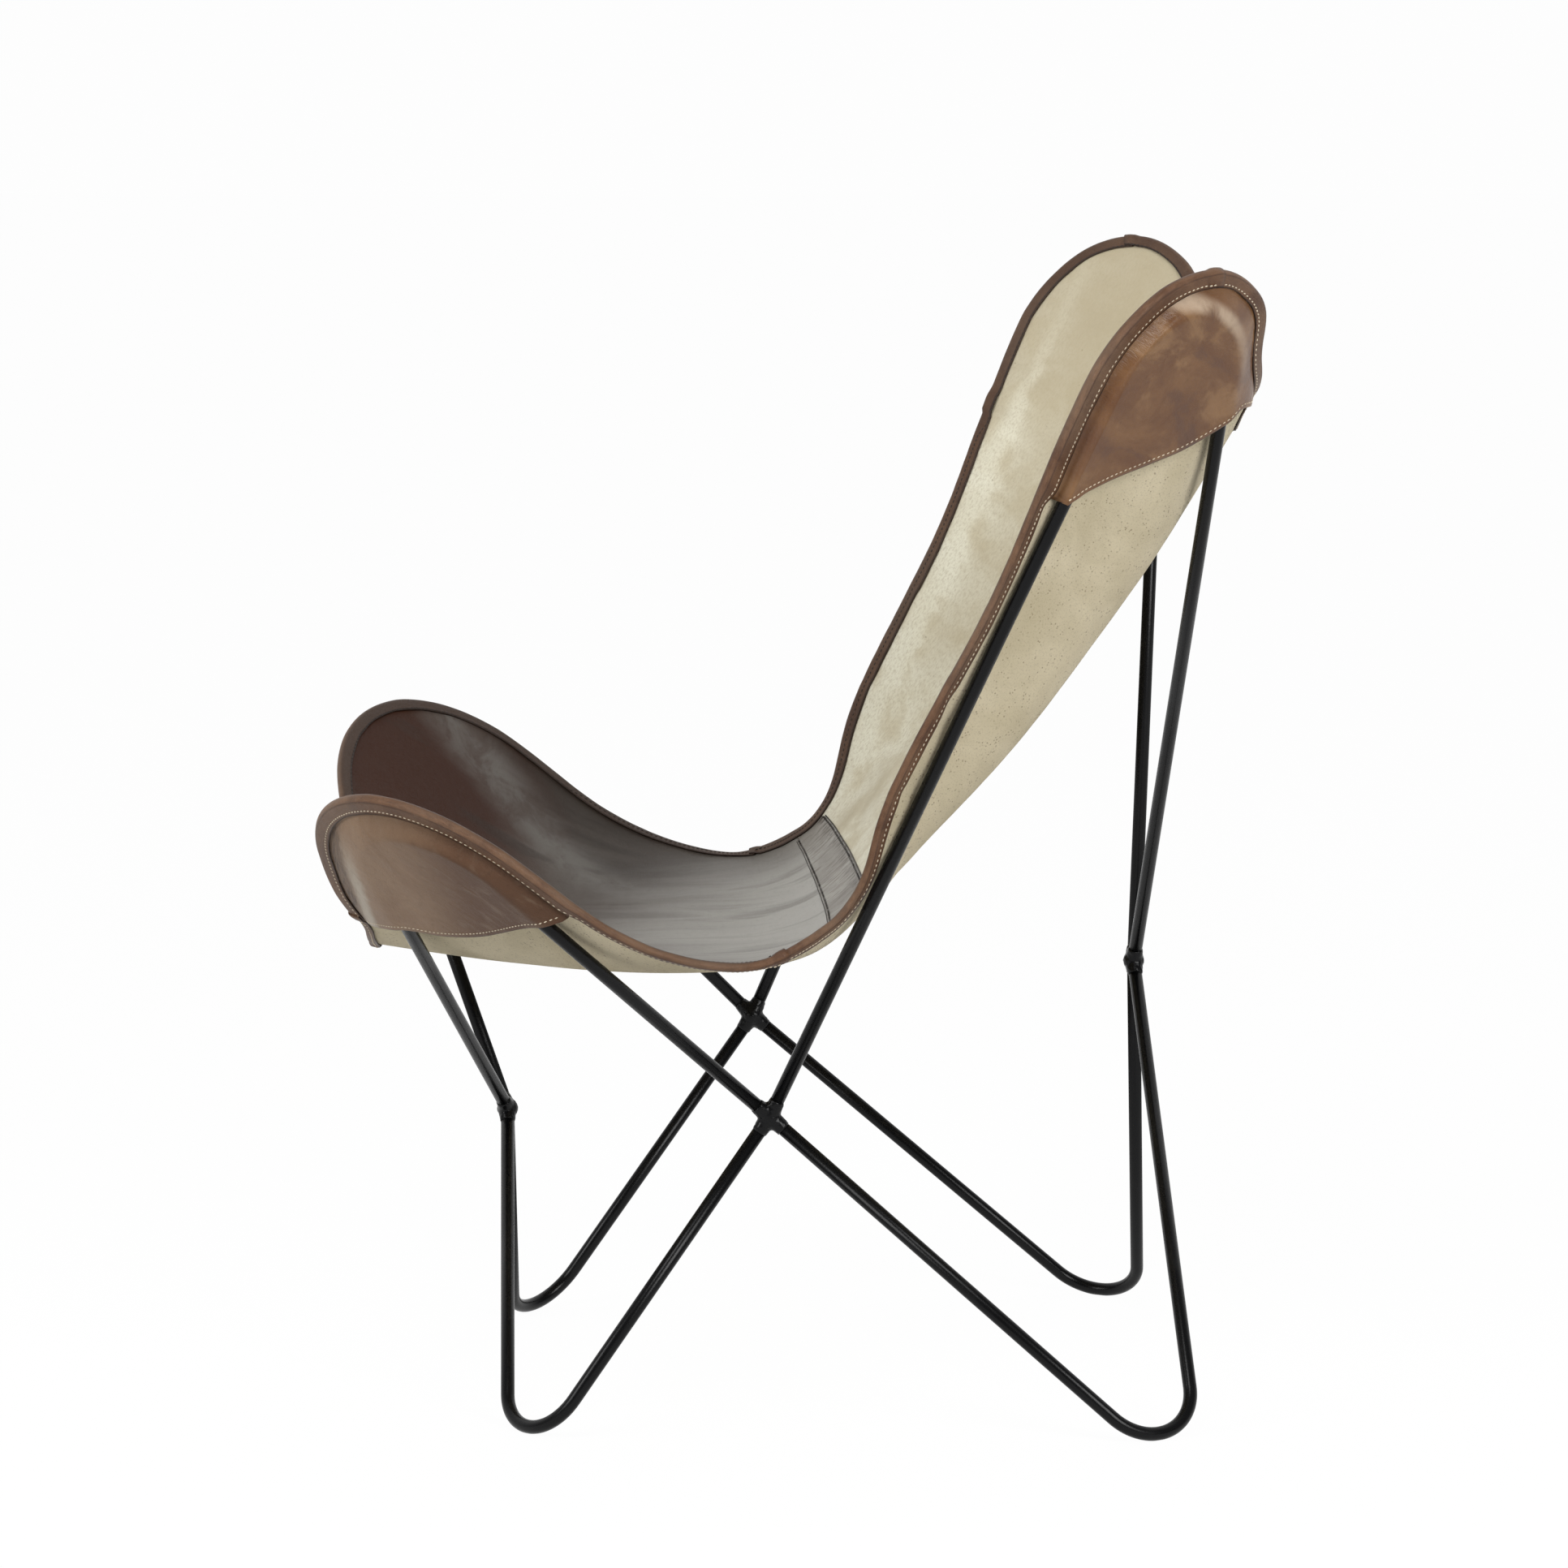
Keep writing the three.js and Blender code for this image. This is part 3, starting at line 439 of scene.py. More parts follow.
for hand in hands:
    meeting = [rods[kind, hand] for kind in apexes]
    crossing_weld(f"run_{hand}_side_weld", meeting[0].side,
                  [loop.side_tangent for loop in meeting], side_weld_reach)
for end in ("front", "rear"):
    meeting = [rods[kind, hand] for hand in hands for kind in apexes if end in kind]
    crossing_weld(f"run_{end}_centre_weld", meeting[0].end,
                  [loop.end_tangent for loop in meeting], centre_weld_reach)


# The cut of the sling: one flat shape in canvas and leather, with a round tongue for each ear
# of the frame and drawn-in sides. Places on it are metres across and metres along from the
# front edge. It hangs from the four ears, so the loaded cloth makes one smooth doubly bent
# surface between them.
binding_thickness = 0.0012
binding_ease = 0.0006
fit_gap = 0.0003
rest_lift = rod_radius + fit_gap + binding_thickness + binding_ease
spine_points = [
    (front_weld_at[1] - 0.108, front_weld_at[2] + 0.141),
    (front_weld_at[1] + 0.010, front_weld_at[2] + 0.1365),
    (side_weld_at[1] - 0.0835, side_weld_at[2] + 0.102),
    (side_weld_at[1] + 0.0115, side_weld_at[2] + 0.1065),
    (side_weld_at[1] + 0.0595, side_weld_at[2] + 0.1255),
    (side_weld_at[1] + 0.1415, side_weld_at[2] + 0.216),
    (rear_weld_at[1] - 0.0605, rear_weld_at[2] + 0.256),
    (rear_weld_at[1] + 0.015, rear_weld_at[2] + 0.354),
    (rear_weld_at[1] + 0.072, rear_weld_at[2] + 0.444),
]
seat_rise = 0.034
seat_rise_half_width = 0.3
sag_shares = [1, 0.51, 0.68, 0.82, 0.41, 0.86, 1.32]
front_fold = 0.06
rear_fold = 0.025
curve_steps = 60


def curve_through(points, steps, even):
    """Points on a smooth curve through the given ones. An even curve gives each span the same
    weight, and the other kind rounds short spans less."""
    points = np.asarray(points, float)
    first, last = points[0], points[-1]
    if not even:
        first, last = 2 * points[0] - points[1], 2 * points[-1] - points[-2]
    padded = np.vstack([first, points, last])
    share = np.linspace(0, 1, steps, endpoint=False)[:, None]
    line = []
    for before, start, stop, after in zip(padded, padded[1:], padded[2:], padded[3:]):
        pairs = ((before, start), (start, stop), (stop, after))
        gaps = [1 if even else math.sqrt(np.linalg.norm(b - a)) for a, b in pairs]
        leave = ((start - before) / gaps[0] - (stop - before) / (gaps[0] + gaps[1])
                 + (stop - start) / gaps[1]) * gaps[1]
        arrive = ((stop - start) / gaps[1] - (after - start) / (gaps[1] + gaps[2])
                  + (after - stop) / gaps[2]) * gaps[1]
        line.append(start + leave * share
                    + (3 * (stop - start) - 2 * leave - arrive) * share ** 2
                    + (2 * (start - stop) + leave + arrive) * share ** 3)
    return np.vstack([*line, last if even else padded[-2]])


def unit(vectors):
    return vectors / np.linalg.norm(vectors, axis=-1, keepdims=True)


def running_length(line):
    """The length from the start of a line to each of its points"""
    return np.concatenate([[0], np.cumsum(np.linalg.norm(np.diff(line, axis=0), axis=1))])


def read_off(line, lengths, wanted):
    """The places on a line at the wanted lengths"""
    return np.stack([np.interp(wanted, lengths, line[:, i]) for i in (0, 1)], -1)


spine_line = curve_through(spine_points, curve_steps, False)
spine_lengths = running_length(spine_line)
spine_length = spine_lengths[-1]
spine_tangents = unit(np.gradient(spine_line, spine_lengths, axis=0))
sag_line = curve_through([[share] for share in sag_shares], curve_steps, True)[:, 0]
sag_places = np.linspace(0, 1, len(sag_line))
front_ear, rear_ear = rods["front_ear", "right"], rods["rear_ear", "right"]
ear_planes = [(np.array(ear.normal), np.array(ear.centre), fold)
              for ear, fold in ((front_ear, front_fold), (rear_ear, rear_fold))]


def on_spine(along):
    """Where the sling's middle line hangs, which way it runs there, and how deep it sags"""
    near = np.clip(along, 0, spine_length)
    point = read_off(spine_line, spine_lengths, near)
    tangent = unit(read_off(spine_tangents, spine_lengths, near))
    point = point + tangent * (along - near)[..., None] + (to_chair.y, to_chair.z)
    return point, tangent, np.interp(near / spine_length, sag_places, sag_line)


def soft_maximum(a, b, width):
    overlap = np.maximum(width - np.abs(a - b), 0) / width
    return np.maximum(a, b) + overlap * overlap * width / 4


def hung(cut):
    """Where places on the cut lie once the sling hangs on its frame"""
    across, along = cut[..., 0], cut[..., 1]
    half_width = np.abs(across)
    point, tangent, sag = on_spine(along)
    normal = np.stack([-tangent[..., 1], tangent[..., 0]], -1)
    height = seat_rise * sag * (half_width / seat_rise_half_width) ** 2
    for inner, centre, fold in ear_planes:
        slope = normal @ inner[1:]
        base = point @ inner[1:] + inner[0] * half_width
        level = inner @ centre + rest_lift
        lifted = soft_maximum(height, (level - base) / np.where(slope > 0, slope, 1), fold)
        height = np.where(slope > 0, lifted, height)
    point = point + normal * height[..., None]
    return np.stack([across, point[..., 0], point[..., 1]], -1)


normal_step = rod_radius


def hung_normal(cut):
    wide = hung(cut + (normal_step, 0)) - hung(cut - (normal_step, 0))
    long = hung(cut + (0, normal_step)) - hung(cut - (0, normal_step))
    return unit(np.cross(wide, long))


def lumps(places, seed):
    """Smooth noise from -1 to 1 at many places at once, for creases that all layers share"""
    flat = places.reshape(-1, places.shape[-1])
    values = [noise.noise((x, y, seed)) for x, y in flat]
    return np.array(values).reshape(places.shape[:-1])


def window(values, low, high, soft):
    """1 between two limits and 0 outside, with soft ends"""
    rise = np.clip((values - low) / soft + 0.5, 0, 1)
    fall = np.clip((high - values) / soft + 0.5, 0, 1)
    share = np.minimum(rise, fall)
    return share * share * (3 - 2 * share)


pulls_per_metre = (22, 3.5)
pull_height = 0.0011
pull_seed = 1.5
pulled_stretch = (0.12, 0.9, 0.2)
dents_per_metre = (9, 9)
dent_height = 0.0012
dent_seed = 8.5
fold_tip = 0.02
# Each fold: where it starts and stops on the cut, its width and its height.
fold_lines = [
    ((0.316, 0.602), (0.288, 0.556), 0.005, 0.0022),
    ((0.300, 0.506), (0.276, 0.540), 0.006, 0.0024),
    ((0.262, 0.590), (0.272, 0.622), 0.006, 0.0012),
    ((0.250, 0.620), (0.248, 0.690), 0.008, 0.0014),
    ((0.214, 0.810), (0.212, 0.870), 0.007, 0.0016),
    ((0.276, 0.730), (0.266, 0.790), 0.007, 0.0012),
    ((-0.300, 0.520), (-0.262, 0.560), 0.007, 0.0022),
    ((-0.312, 0.620), (-0.284, 0.570), 0.006, 0.0018),
    ((-0.250, 0.640), (-0.246, 0.720), 0.009, 0.0014),
    ((-0.205, 0.800), (-0.215, 0.872), 0.008, 0.0016),
    ((0.150, 0.470), (0.235, 0.455), 0.007, 0.0012),
    ((-0.140, 0.460), (-0.225, 0.452), 0.007, 0.0012),
]


def fold(cut, line):
    """A soft crease between two places on the cut, fading out at both ends"""
    start, stop, width, height = line
    way = np.subtract(stop, start)
    share = ((cut - start) @ way) / (way @ way)
    near = start + np.clip(share, 0, 1)[..., None] * way
    away = np.linalg.norm(cut - near, axis=-1)
    fade = np.sqrt(np.sin(np.pi * np.clip(share, fold_tip, 1 - fold_tip)))
    return height * fade * np.exp(-(away / width) ** 2)


def creases(cut):
    """How far the cloth stands off its even surface: long pulls, folds and small dents"""
    pulls = lumps(cut * pulls_per_metre, pull_seed) * window(cut[..., 1], *pulled_stretch)
    dents = lumps(cut * dents_per_metre, dent_seed)
    return (pulls * pull_height + dents * dent_height
            + sum(fold(cut, line) for line in fold_lines))


def sewn_place(cut, offset):
    """A place in the hanging sling, offset inwards from the lining's outer face"""
    return hung(cut) + hung_normal(cut) * (offset + creases(cut))[..., None]


# The edge of the cut. It is a smooth line through the tops of the tongues and the widths of
# the sides, the same on the left and the right, and all the layers and the binding follow it.
tongues = {
    "front": {
        "loop": front_ear, "radius": 0.123, "drop": 0.014, "shift": 0.0145,
        "turns": [165, 145, 125, 105, 85, 65, 45, 25],
        "trims": [0.001, 0.0056, 0.0055, 0.0037, 0.0026, 0.0045, 0.0064, 0.0061],
    },
    "rear": {
        "loop": rear_ear, "radius": 0.105, "drop": 0.0045, "shift": 0.007,
        "turns": [5, 25, 45, 65, 85, 105, 125, 145, 170],
        "trims": [0.0068, 0.0095, 0.0103, 0.0085, 0.007, 0.0047, 0.0034, 0.0012, 0],
    },
}
corner_turn = 65
side_widths = [
    (0.34, 0.2), (0.3245, 0.285), (0.287, 0.408), (0.276, 0.475), (0.3065, 0.57),
    (0.3275, 0.74), (0.352, 0.865),
]
front_dips = [(0.35, 0.09), (0.6, 0.19), (0.82, 0.74)]
rear_dips = [(0.35, 0.09), (0.65, 0.16), (0.87, 0.71)]
settle_rounds = 60
settle_share = 0.7


def on_tongue(tongue, lateral, axial):
    """A place on the plane of a tongue, from its middle, sideways and towards its top"""
    loop = tongue["loop"]
    return np.array(loop.centre + loop.lateral * (lateral - tongue["shift"])
                    + loop.axis * (axial - tongue["drop"]) + loop.normal * rest_lift)


def cut_place_of(points):
    """The places on the cut of points that lie on the hanging sling"""
    points = np.asarray(points)
    low, high = on_spine(np.array([0, spine_length]))[0][:, 1]
    along = spine_length * np.clip((points[:, 2] - low) / (high - low), 0, 1)
    for _ in range(settle_rounds):
        place, tangent, _sag = on_spine(along)
        along = along + settle_share * ((points[:, 1:] - place) * tangent).sum(-1)
    return np.stack([points[:, 0], along], -1)


def tongue_rim(tongue):
    """The round top of a tongue: part of a circle, trimmed a little differently at each turn"""
    points = []
    for turn, trim in zip(np.radians(tongue["turns"]), tongue["trims"]):
        reach = tongue["radius"] - trim
        points.append(on_tongue(tongue, reach * math.cos(turn), reach * math.sin(turn)))
    return cut_place_of(points)


front_rim = tongue_rim(tongues["front"])
rear_rim = tongue_rim(tongues["rear"])
front_middle = np.zeros(2)
rear_middle = np.array([0, spine_length])
front_edge = [(a * front_rim[0][0], b * front_rim[0][1]) for a, b in front_dips]
rear_edge = [(a * rear_rim[-1][0], spine_length + b * (rear_rim[-1][1] - spine_length))
             for a, b in rear_dips]
side_edge = [(width, share * spine_length) for width, share in side_widths]
rim_points = [front_middle, *front_edge, *front_rim, *side_edge, *rear_rim,
              *reversed(rear_edge), rear_middle]
mirrored = np.array([-1, 1])
rim_line = curve_through(
    [mirrored * rim_points[1], *rim_points, mirrored * rim_points[-2]], curve_steps, True)
front_middle_at = 1
front_rim_at = front_middle_at + 1 + len(front_edge)
front_corner_at = front_rim_at + tongues["front"]["turns"].index(corner_turn)
side_at = front_rim_at + len(front_rim)
hip_at = side_at + 2
waist_at = side_at + 3
rear_rim_at = side_at + len(side_edge)
rear_corner_at = rear_rim_at + tongues["rear"]["turns"].index(corner_turn)
rear_middle_at = len(rim_points)
rim_samples = 400


def evened(line, count):
    """A line with a number of points that are spread evenly along it"""
    lengths = running_length(line)
    return read_off(line, lengths, np.linspace(0, lengths[-1], count))


def rim_between(start, stop, pieces):
    """Evenly spaced places along the edge, from one of its given points to another"""
    steps = np.arange(len(rim_line)) / curve_steps
    return evened(read_off(rim_line, steps, np.linspace(start, stop, rim_samples)), pieces + 1)


def set_in(line, inset):
    """A line moved to its left, which is inwards for a line that runs round the edge"""
    way = unit(np.gradient(line, axis=0))
    return line + np.stack([-way[:, 1], way[:, 0]], -1) * inset


# The canvas lining: one piece of unbleached, speckled canvas over the whole of the sling. It
# is all that shows of the outer side between the pockets, and every other layer lies on it.
lining_thickness = 0.0015
panel_thickness = 0.0018
panel_bottom = lining_thickness + fit_gap
stack_top = panel_bottom + panel_thickness
layer_inset = 0.0032
relax_rounds = 400
band_start_at = hip_at + 0.19
back_start_at = hip_at + 0.83


def mirrored_line(half):
    """A line from the middle outwards, with its mirror image before it"""
    return np.vstack([half[:0:-1] * mirrored, half])


def end_line(start, stop, side_end, columns):
    """The sling's own front or top edge, from its left corner to its right one"""
    half = set_in(rim_between(*sorted((start, stop)), columns // 2), layer_inset)
    if start > stop:
        half = half[::-1]
    half[0, 0] = 0
    half[-1] = side_end
    return mirrored_line(half)


def seam_line(side_end, columns):
    return mirrored_line(np.linspace((0, side_end[1]), side_end, columns // 2 + 1))


def panel_net(start, stop, columns, rows):
    """Places on the cut in even rows and columns, between two pairs of places on the edge"""
    side = set_in(rim_between(start, stop, rows), layer_inset)
    low = seam_line(side[0], columns)
    high = seam_line(side[-1], columns)
    if start == front_corner_at:
        low = end_line(front_middle_at, front_corner_at, side[0], columns)
    if stop == rear_corner_at:
        high = end_line(rear_middle_at, rear_corner_at, side[-1], columns)
    rise = np.linspace(0, 1, rows + 1)[:, None, None]
    across = np.linspace(-1, 1, columns + 1)[None, :, None]
    net = low[None] * (1 - rise) + high[None] * rise
    straight = low[None, -1:] * (1 - rise) + high[None, -1:] * rise
    miss = side[:, None] - straight
    net = net + miss * np.concatenate([across, np.abs(across)], -1)
    for _ in range(relax_rounds):
        net[1:-1, 1:-1] = (net[:-2, 1:-1] + net[2:, 1:-1] + net[1:-1, :-2]
                           + net[1:-1, 2:]) / 4
    return net


def gridded(places, flat):
    """A plain grid spread over rows of places, which keeps its flat cut as a UV map"""
    rows, columns = places.shape[0] - 1, places.shape[1] - 1
    shape = bmesh.new()
    bmesh.ops.create_grid(shape, x_segments=columns, y_segments=rows, size=1)
    index = {}
    for vert in shape.verts:
        column = round((vert.co.x + 1) / 2 * columns)
        row = round((vert.co.y + 1) / 2 * rows)
        index[vert] = (row, column)
        vert.co = places[row, column]
    cut = shape.loops.layers.uv.new("cut")
    for face in shape.faces:
        for corner in face.loops:
            corner[cut].uv = flat[index[corner.vert]]
    return shape, index


def laid_net(net, offset):
    """A layer of the sling, hung at an offset from the lining's outer face"""
    return gridded(sewn_place(net, np.broadcast_to(offset, net.shape[:2])), net)[0]


def thickened(piece, thickness, offset=1):
    wall = piece.modifiers.new("thickness", "SOLIDIFY")
    wall.thickness = thickness
    wall.offset = offset
    wall.use_even_offset = True


def cut_area(net):
    """The flat area of a net of places, by its outline"""
    line = np.vstack([net[0], net[1:, -1], net[-1, ::-1][1:], net[::-1, 0][1:]])
    after = np.roll(line, -1, axis=0)
    return abs((line[:, 0] * after[:, 1] - after[:, 0] * line[:, 1]).sum()) / 2


def declared(net):
    """Works out the area of a piece's flat cut, and does nothing with it"""
    size = net.reshape(-1, 2).max(0) - net.reshape(-1, 2).min(0)
    min(cut_area(net), size[0] * size[1])


yarn_pitch = 0.0009
weave_depth = 0.0005
cloth_roughness = 0.92
cloth_shine = 0.2


def woven(across, along):
    """The height of a plain weave, from 0 between the threads to 1 on top of them"""
    warp, weft = [(place * (2 * math.pi / yarn_pitch)).sine() for place in (across, along)]
    return warp * weft * 0.5 + 0.5


canvas = Finish("outer_canvas_cloth")
on_cut = canvas.cut_place()
weave = woven(*canvas.parts(on_cut))
slubs = canvas.cloud(canvas.stretched(on_cut, 9, 1), 0.006, 2)
grain = canvas.cloud(on_cut, 0.0016, 3, 0.7)
flecks = canvas.cells(on_cut, 0.003).between(0.14, 0.32)
fleck_here = canvas.cloud(on_cut, 0.0105, 2).between(0.45, 0.58)
stain = canvas.cloud(on_cut, 0.11, 5, 0.6, 0.4).between(0.36, 0.7)
canvas_pale = rgba(0.74, 0.65, 0.46)
canvas_deep = rgba(0.56, 0.48, 0.31)
canvas_fleck = rgba(0.2, 0.13, 0.065)
body = canvas.tint(stain, canvas_pale, canvas_deep)
body = canvas.tint(weave * 0.2 + slubs * 0.1, body, canvas_deep)
body = canvas.tint(grain.between(0.5, 0.72) * 0.32, body, canvas_fleck)
canvas_cloth = canvas.surface({
    "Base Color": canvas.tint((1 - flecks) * fleck_here * 0.6, body, canvas_fleck),
    "Roughness": cloth_roughness,
    "Specular IOR Level": cloth_shine,
    "Sheen Weight": 0.1,
    "Normal": canvas.raised(weave * 0.7 + slubs * 0.5 + grain * 0.8, weave_depth),
})

lining_net = panel_net(front_corner_at, rear_corner_at, 80, 150)
lining = finished("canvas_lining", laid_net(lining_net, 0), canvas_cloth, "outer_canvas",
                  "outer_canvas")
thickened(lining, lining_thickness)
declared(lining_net)


# The seat: smooth dark brown hide laid on the lining from the front edge to the lap band and
# caught under the binding. Its grey across the lap is partly rubbed wear and partly a painted
# sheen. A painted sheen also runs along the bend of each side, and it is darker towards its
# corners.
class Hide(Finish):
    """Smooth tanned hide: clouded colour, fine grain, and a polish that comes and goes"""

    def __init__(self, name, deep, mid, scale):
        super().__init__(name)
        self.place = self.cut_place()
        self.across, self.along = self.parts(self.place)
        self.clouding = self.cloud(self.place, 0.09 * scale, 5, 0.62, 0.6)
        self.speckle = self.cloud(self.place, 0.005, 4, 0.7)
        self.colour = self.tint(self.clouding.between(0.35, 0.66), deep, mid)
        pores = self.cells(self.place, 0.0011, "DISTANCE_TO_EDGE").between(0, 0.16)
        grain = self.cloud(self.place, 0.0035, 4, 0.7)
        self.height = pores * 0.35 + grain * 0.9

    def paint_wear_and_light(self, share, colour):
        """Turns part of the hide to another colour: wear and dirt, and also painted highlights and
        shade
        """
        self.colour = self.tint(share, self.colour, colour)

    def round_patch(self, across, along, wide, long):
        """1 in an oval patch on both halves of the hide, fading to 0 around it"""
        off = ((self.across.size() - across) / wide) ** 2 + ((self.along - along) / long) ** 2
        return 1 - (off + self.clouding * 0.8 - 0.4).between(0.1, 1.3)

    def dressed(self, dull, gloss, shine, grain_depth):
        """The finished hide, speckled a little, whose roughness goes from gloss to dull"""
        self.paint_wear_and_light(self.speckle.between(0.52, 0.75) * 0.2, rgba(0.02, 0.012, 0.008))
        return self.surface({
            "Base Color": self.colour,
            "Roughness": self.clouding * (dull - gloss) + self.speckle * 0.08 + gloss,
            "Specular IOR Level": shine,
            "Normal": self.raised(self.height, grain_depth),
        })


def sewn_panel(name, net, offset, material, slot, replaced):
    """A panel that is laid on the lining and sewn down along its edges"""
    panel = finished(name, laid_net(net, offset), material, slot, replaced)
    thickened(panel, panel_thickness)
    declared(net)


hide_grain_depth = 0.0003
edge_brown = rgba(0.036, 0.026, 0.02)
lap_wear_and_sheen_grey = rgba(0.4, 0.385, 0.35)
lap_streak = rgba(0.16, 0.145, 0.125)
corner_brown = rgba(0.04, 0.0125, 0.005)
painted_sheen_grey = rgba(0.18, 0.17, 0.155)
front_streak = rgba(0.028, 0.019, 0.014)
seat_leather = Hide("seat_hide", rgba(0.06, 0.043, 0.032), rgba(0.1, 0.084, 0.07), 1.3)
to_side = seat_leather.across.size()
streaks = seat_leather.cloud(seat_leather.stretched(seat_leather.place, 5, 1), 0.2, 3, 0.55, 0.4)
bend_line = to_side - 0.285 + (seat_leather.along - 0.1) * 0.84 + streaks * 0.04 - 0.02
lap_rise = (seat_leather.along - to_side * 0.3 + streaks * 0.16 - 0.08).between(0.1, 0.33)
lap_width = 1 - to_side.between(0.17, 0.33)
beside_edge = bend_line.between(0.015, 0.05) * to_side.between(0.2, 0.27) * (1 - lap_rise)
seat_leather.paint_wear_and_light(beside_edge * (streaks.between(0.35, 0.6) * 0.5 + 0.5), edge_brown)
# The grey across the lap is partly rubbed wear and partly a painted sheen.
seat_leather.paint_wear_and_light(lap_rise * (lap_width * 0.7 + 0.3), lap_wear_and_sheen_grey)
seat_leather.paint_wear_and_light(streaks.between(0.5, 0.66) * lap_rise * 0.6, lap_streak)
seat_leather.paint_wear_and_light(seat_leather.round_patch(0.258, 0.03, 0.115, 0.13), corner_brown)
# A painted sheen: a pale grey band where each side of the seat bends up into its ear, broken up by
# blotches.
painted_sheen_line = 1 - ((bend_line - 0.012) * 17).size().between(0, 1)
blotches = seat_leather.cloud(seat_leather.place, 0.03, 5, 0.65, 0.5)
seat_leather.paint_wear_and_light(painted_sheen_line * (1 - lap_rise) * to_side.between(0.12, 0.24)
                  * (blotches.between(0.35, 0.65) * 0.45 + 0.3), painted_sheen_grey)
seat_leather.paint_wear_and_light(streaks.between(0.55, 0.7) * (1 - lap_rise) * 0.5, front_streak)
crinkles = seat_leather.cloud(seat_leather.stretched(seat_leather.place, 0.35, 1.6), 0.012, 4, 0.6)
seat_leather.height = seat_leather.height + crinkles * 1.8 + streaks * 2
seat_hide = seat_leather.dressed(0.46, 0.3, 0.16, hide_grain_depth)
sewn_panel("seat_hide", panel_net(front_corner_at, band_start_at, 96, 84), panel_bottom,
           seat_hide, "seat_leather", "seat_leather")


# The back: pale canvas with a brushed face, laid on the lining from the lap band to the top
# edge. It is mottled and worn, and browner between two pale streaks and near the top. The pale
# streaks are partly a painted highlight where the cloth turns, the brown between them is painted
# shade, and the brown near the top is partly painted shade.
back = Finish("back_canvas_cloth")
on_cut = back.cut_place()
across_cut, along_cut = back.parts(on_cut)
weave = woven(across_cut, along_cut)
brushed = back.cloud(back.stretched(on_cut, 2.5, 1), 0.004, 4, 0.7)
mottle = back.cloud(on_cut, 0.045, 5, 0.62, 0.3)
blotch = back.cloud(on_cut, 0.13, 4, 0.55, 0.5)
grain_lines = back.cloud(back.stretched(on_cut, 12, 1), 0.03, 3, 0.6)
from_streak = across_cut.size() - along_cut * 0.155 - 0.204 + mottle * 0.024 - 0.012
# A pale streak down each side of the back where the cloth turns towards the ears: partly faded
# cloth and partly a painted highlight.
pale_streak_and_highlight = 1 - (from_streak * 60).size().between(0.1, 1) - along_cut.between(0.72, 0.92) * 0.8
pale_streak_and_highlight = pale_streak_and_highlight.between(0, 1)
painted_shade_inside_streak = (1 - from_streak.between(-0.03, 0)) * along_cut.between(0.5, 0.62)
top_tone_and_shade = along_cut.between(0.72, 0.9)
back_pale = rgba(0.82, 0.79, 0.64)
back_mid = rgba(0.66, 0.6, 0.44)
back_deep = rgba(0.47, 0.4, 0.265)
body = back.tint(mottle.between(0.36, 0.62), back_mid, back_pale)
body = back.tint(blotch.between(0.5, 0.72) * 0.6, body, back_deep)
body = back.tint(grain_lines.between(0.55, 0.8) * 0.35, body, back_deep)
# Painted shade: the back is darkened on the middle side of each pale streak.
body = back.tint(painted_shade_inside_streak * 0.45, body, back_deep)
# Browner near the top: partly a darker cloth and partly painted shade.
body = back.tint(top_tone_and_shade * 0.75, body, back_deep)
body = back.tint(pale_streak_and_highlight * 0.7, body, back_pale)
specks = back.cells(on_cut, 0.007).between(0.06, 0.13)
speck_here = back.cloud(on_cut, 0.02, 2).between(0.56, 0.66)
body = back.tint((1 - specks) * speck_here * 0.5, body, canvas_fleck)
back_cloth = back.surface({
    "Base Color": back.tint(brushed.between(0.42, 0.68) * 0.5, body, back_deep),
    "Roughness": cloth_roughness,
    "Specular IOR Level": cloth_shine,
    "Sheen Weight": 0.15,
    "Normal": back.raised(weave * 0.4 + brushed * 1.2, weave_depth),
})
sewn_panel("back_panel", panel_net(back_start_at, rear_corner_at, 96, 100), panel_bottom,
           back_cloth, "inner_canvas", "back_canvas")


# The lap band: a narrow strip of hide over the joint of the seat and the back, sewn down with a
# dark row along each long edge. It puckers along its rows and lies flat under the binding.
band_lap = 0.0035
band_lift = 0.0009
puckers_per_metre = (240, 26)
pucker_height = 0.0006
pucker_reach = 0.012
pucker_seed = 3.5
flat_end = 0.01
flat_end_fade = 0.008
band_net = panel_net(band_start_at, back_start_at, 240, 20)
low, high = band_net[0, 0, 1], band_net[-1, 0, 1]
grow = (high - low + 2 * band_lap) / (high - low)
band_net[..., 1] += (band_net[..., 1] - (low + high) / 2) * (grow - 1)
seam_row_inset = 0.003
seam_rows = [low - band_lap + seam_row_inset, high + band_lap - seam_row_inset]

brushed_brown = rgba(0.15, 0.125, 0.1)
dash_brown = rgba(0.06, 0.045, 0.034)
groove_grime_and_shade = rgba(0.05, 0.036, 0.026)
groove_half_width = 0.0011
band_leather = Hide("band_hide", rgba(0.24, 0.22, 0.19), rgba(0.38, 0.36, 0.32), 0.8)
brushing = band_leather.cloud(band_leather.stretched(band_leather.place, 6, 1), 0.035, 4, 0.65)
dashes = band_leather.cloud(band_leather.stretched(band_leather.place, 7, 1), 0.018, 3, 0.6)
band_leather.paint_wear_and_light(brushing.between(0.48, 0.64) * 0.7, brushed_brown)
near_rear_seam = 1 - (seam_rows[1] - band_leather.along).between(0.002, 0.015)
band_leather.paint_wear_and_light(dashes.between(0.48, 0.58) * near_rear_seam * 0.85, dash_brown)
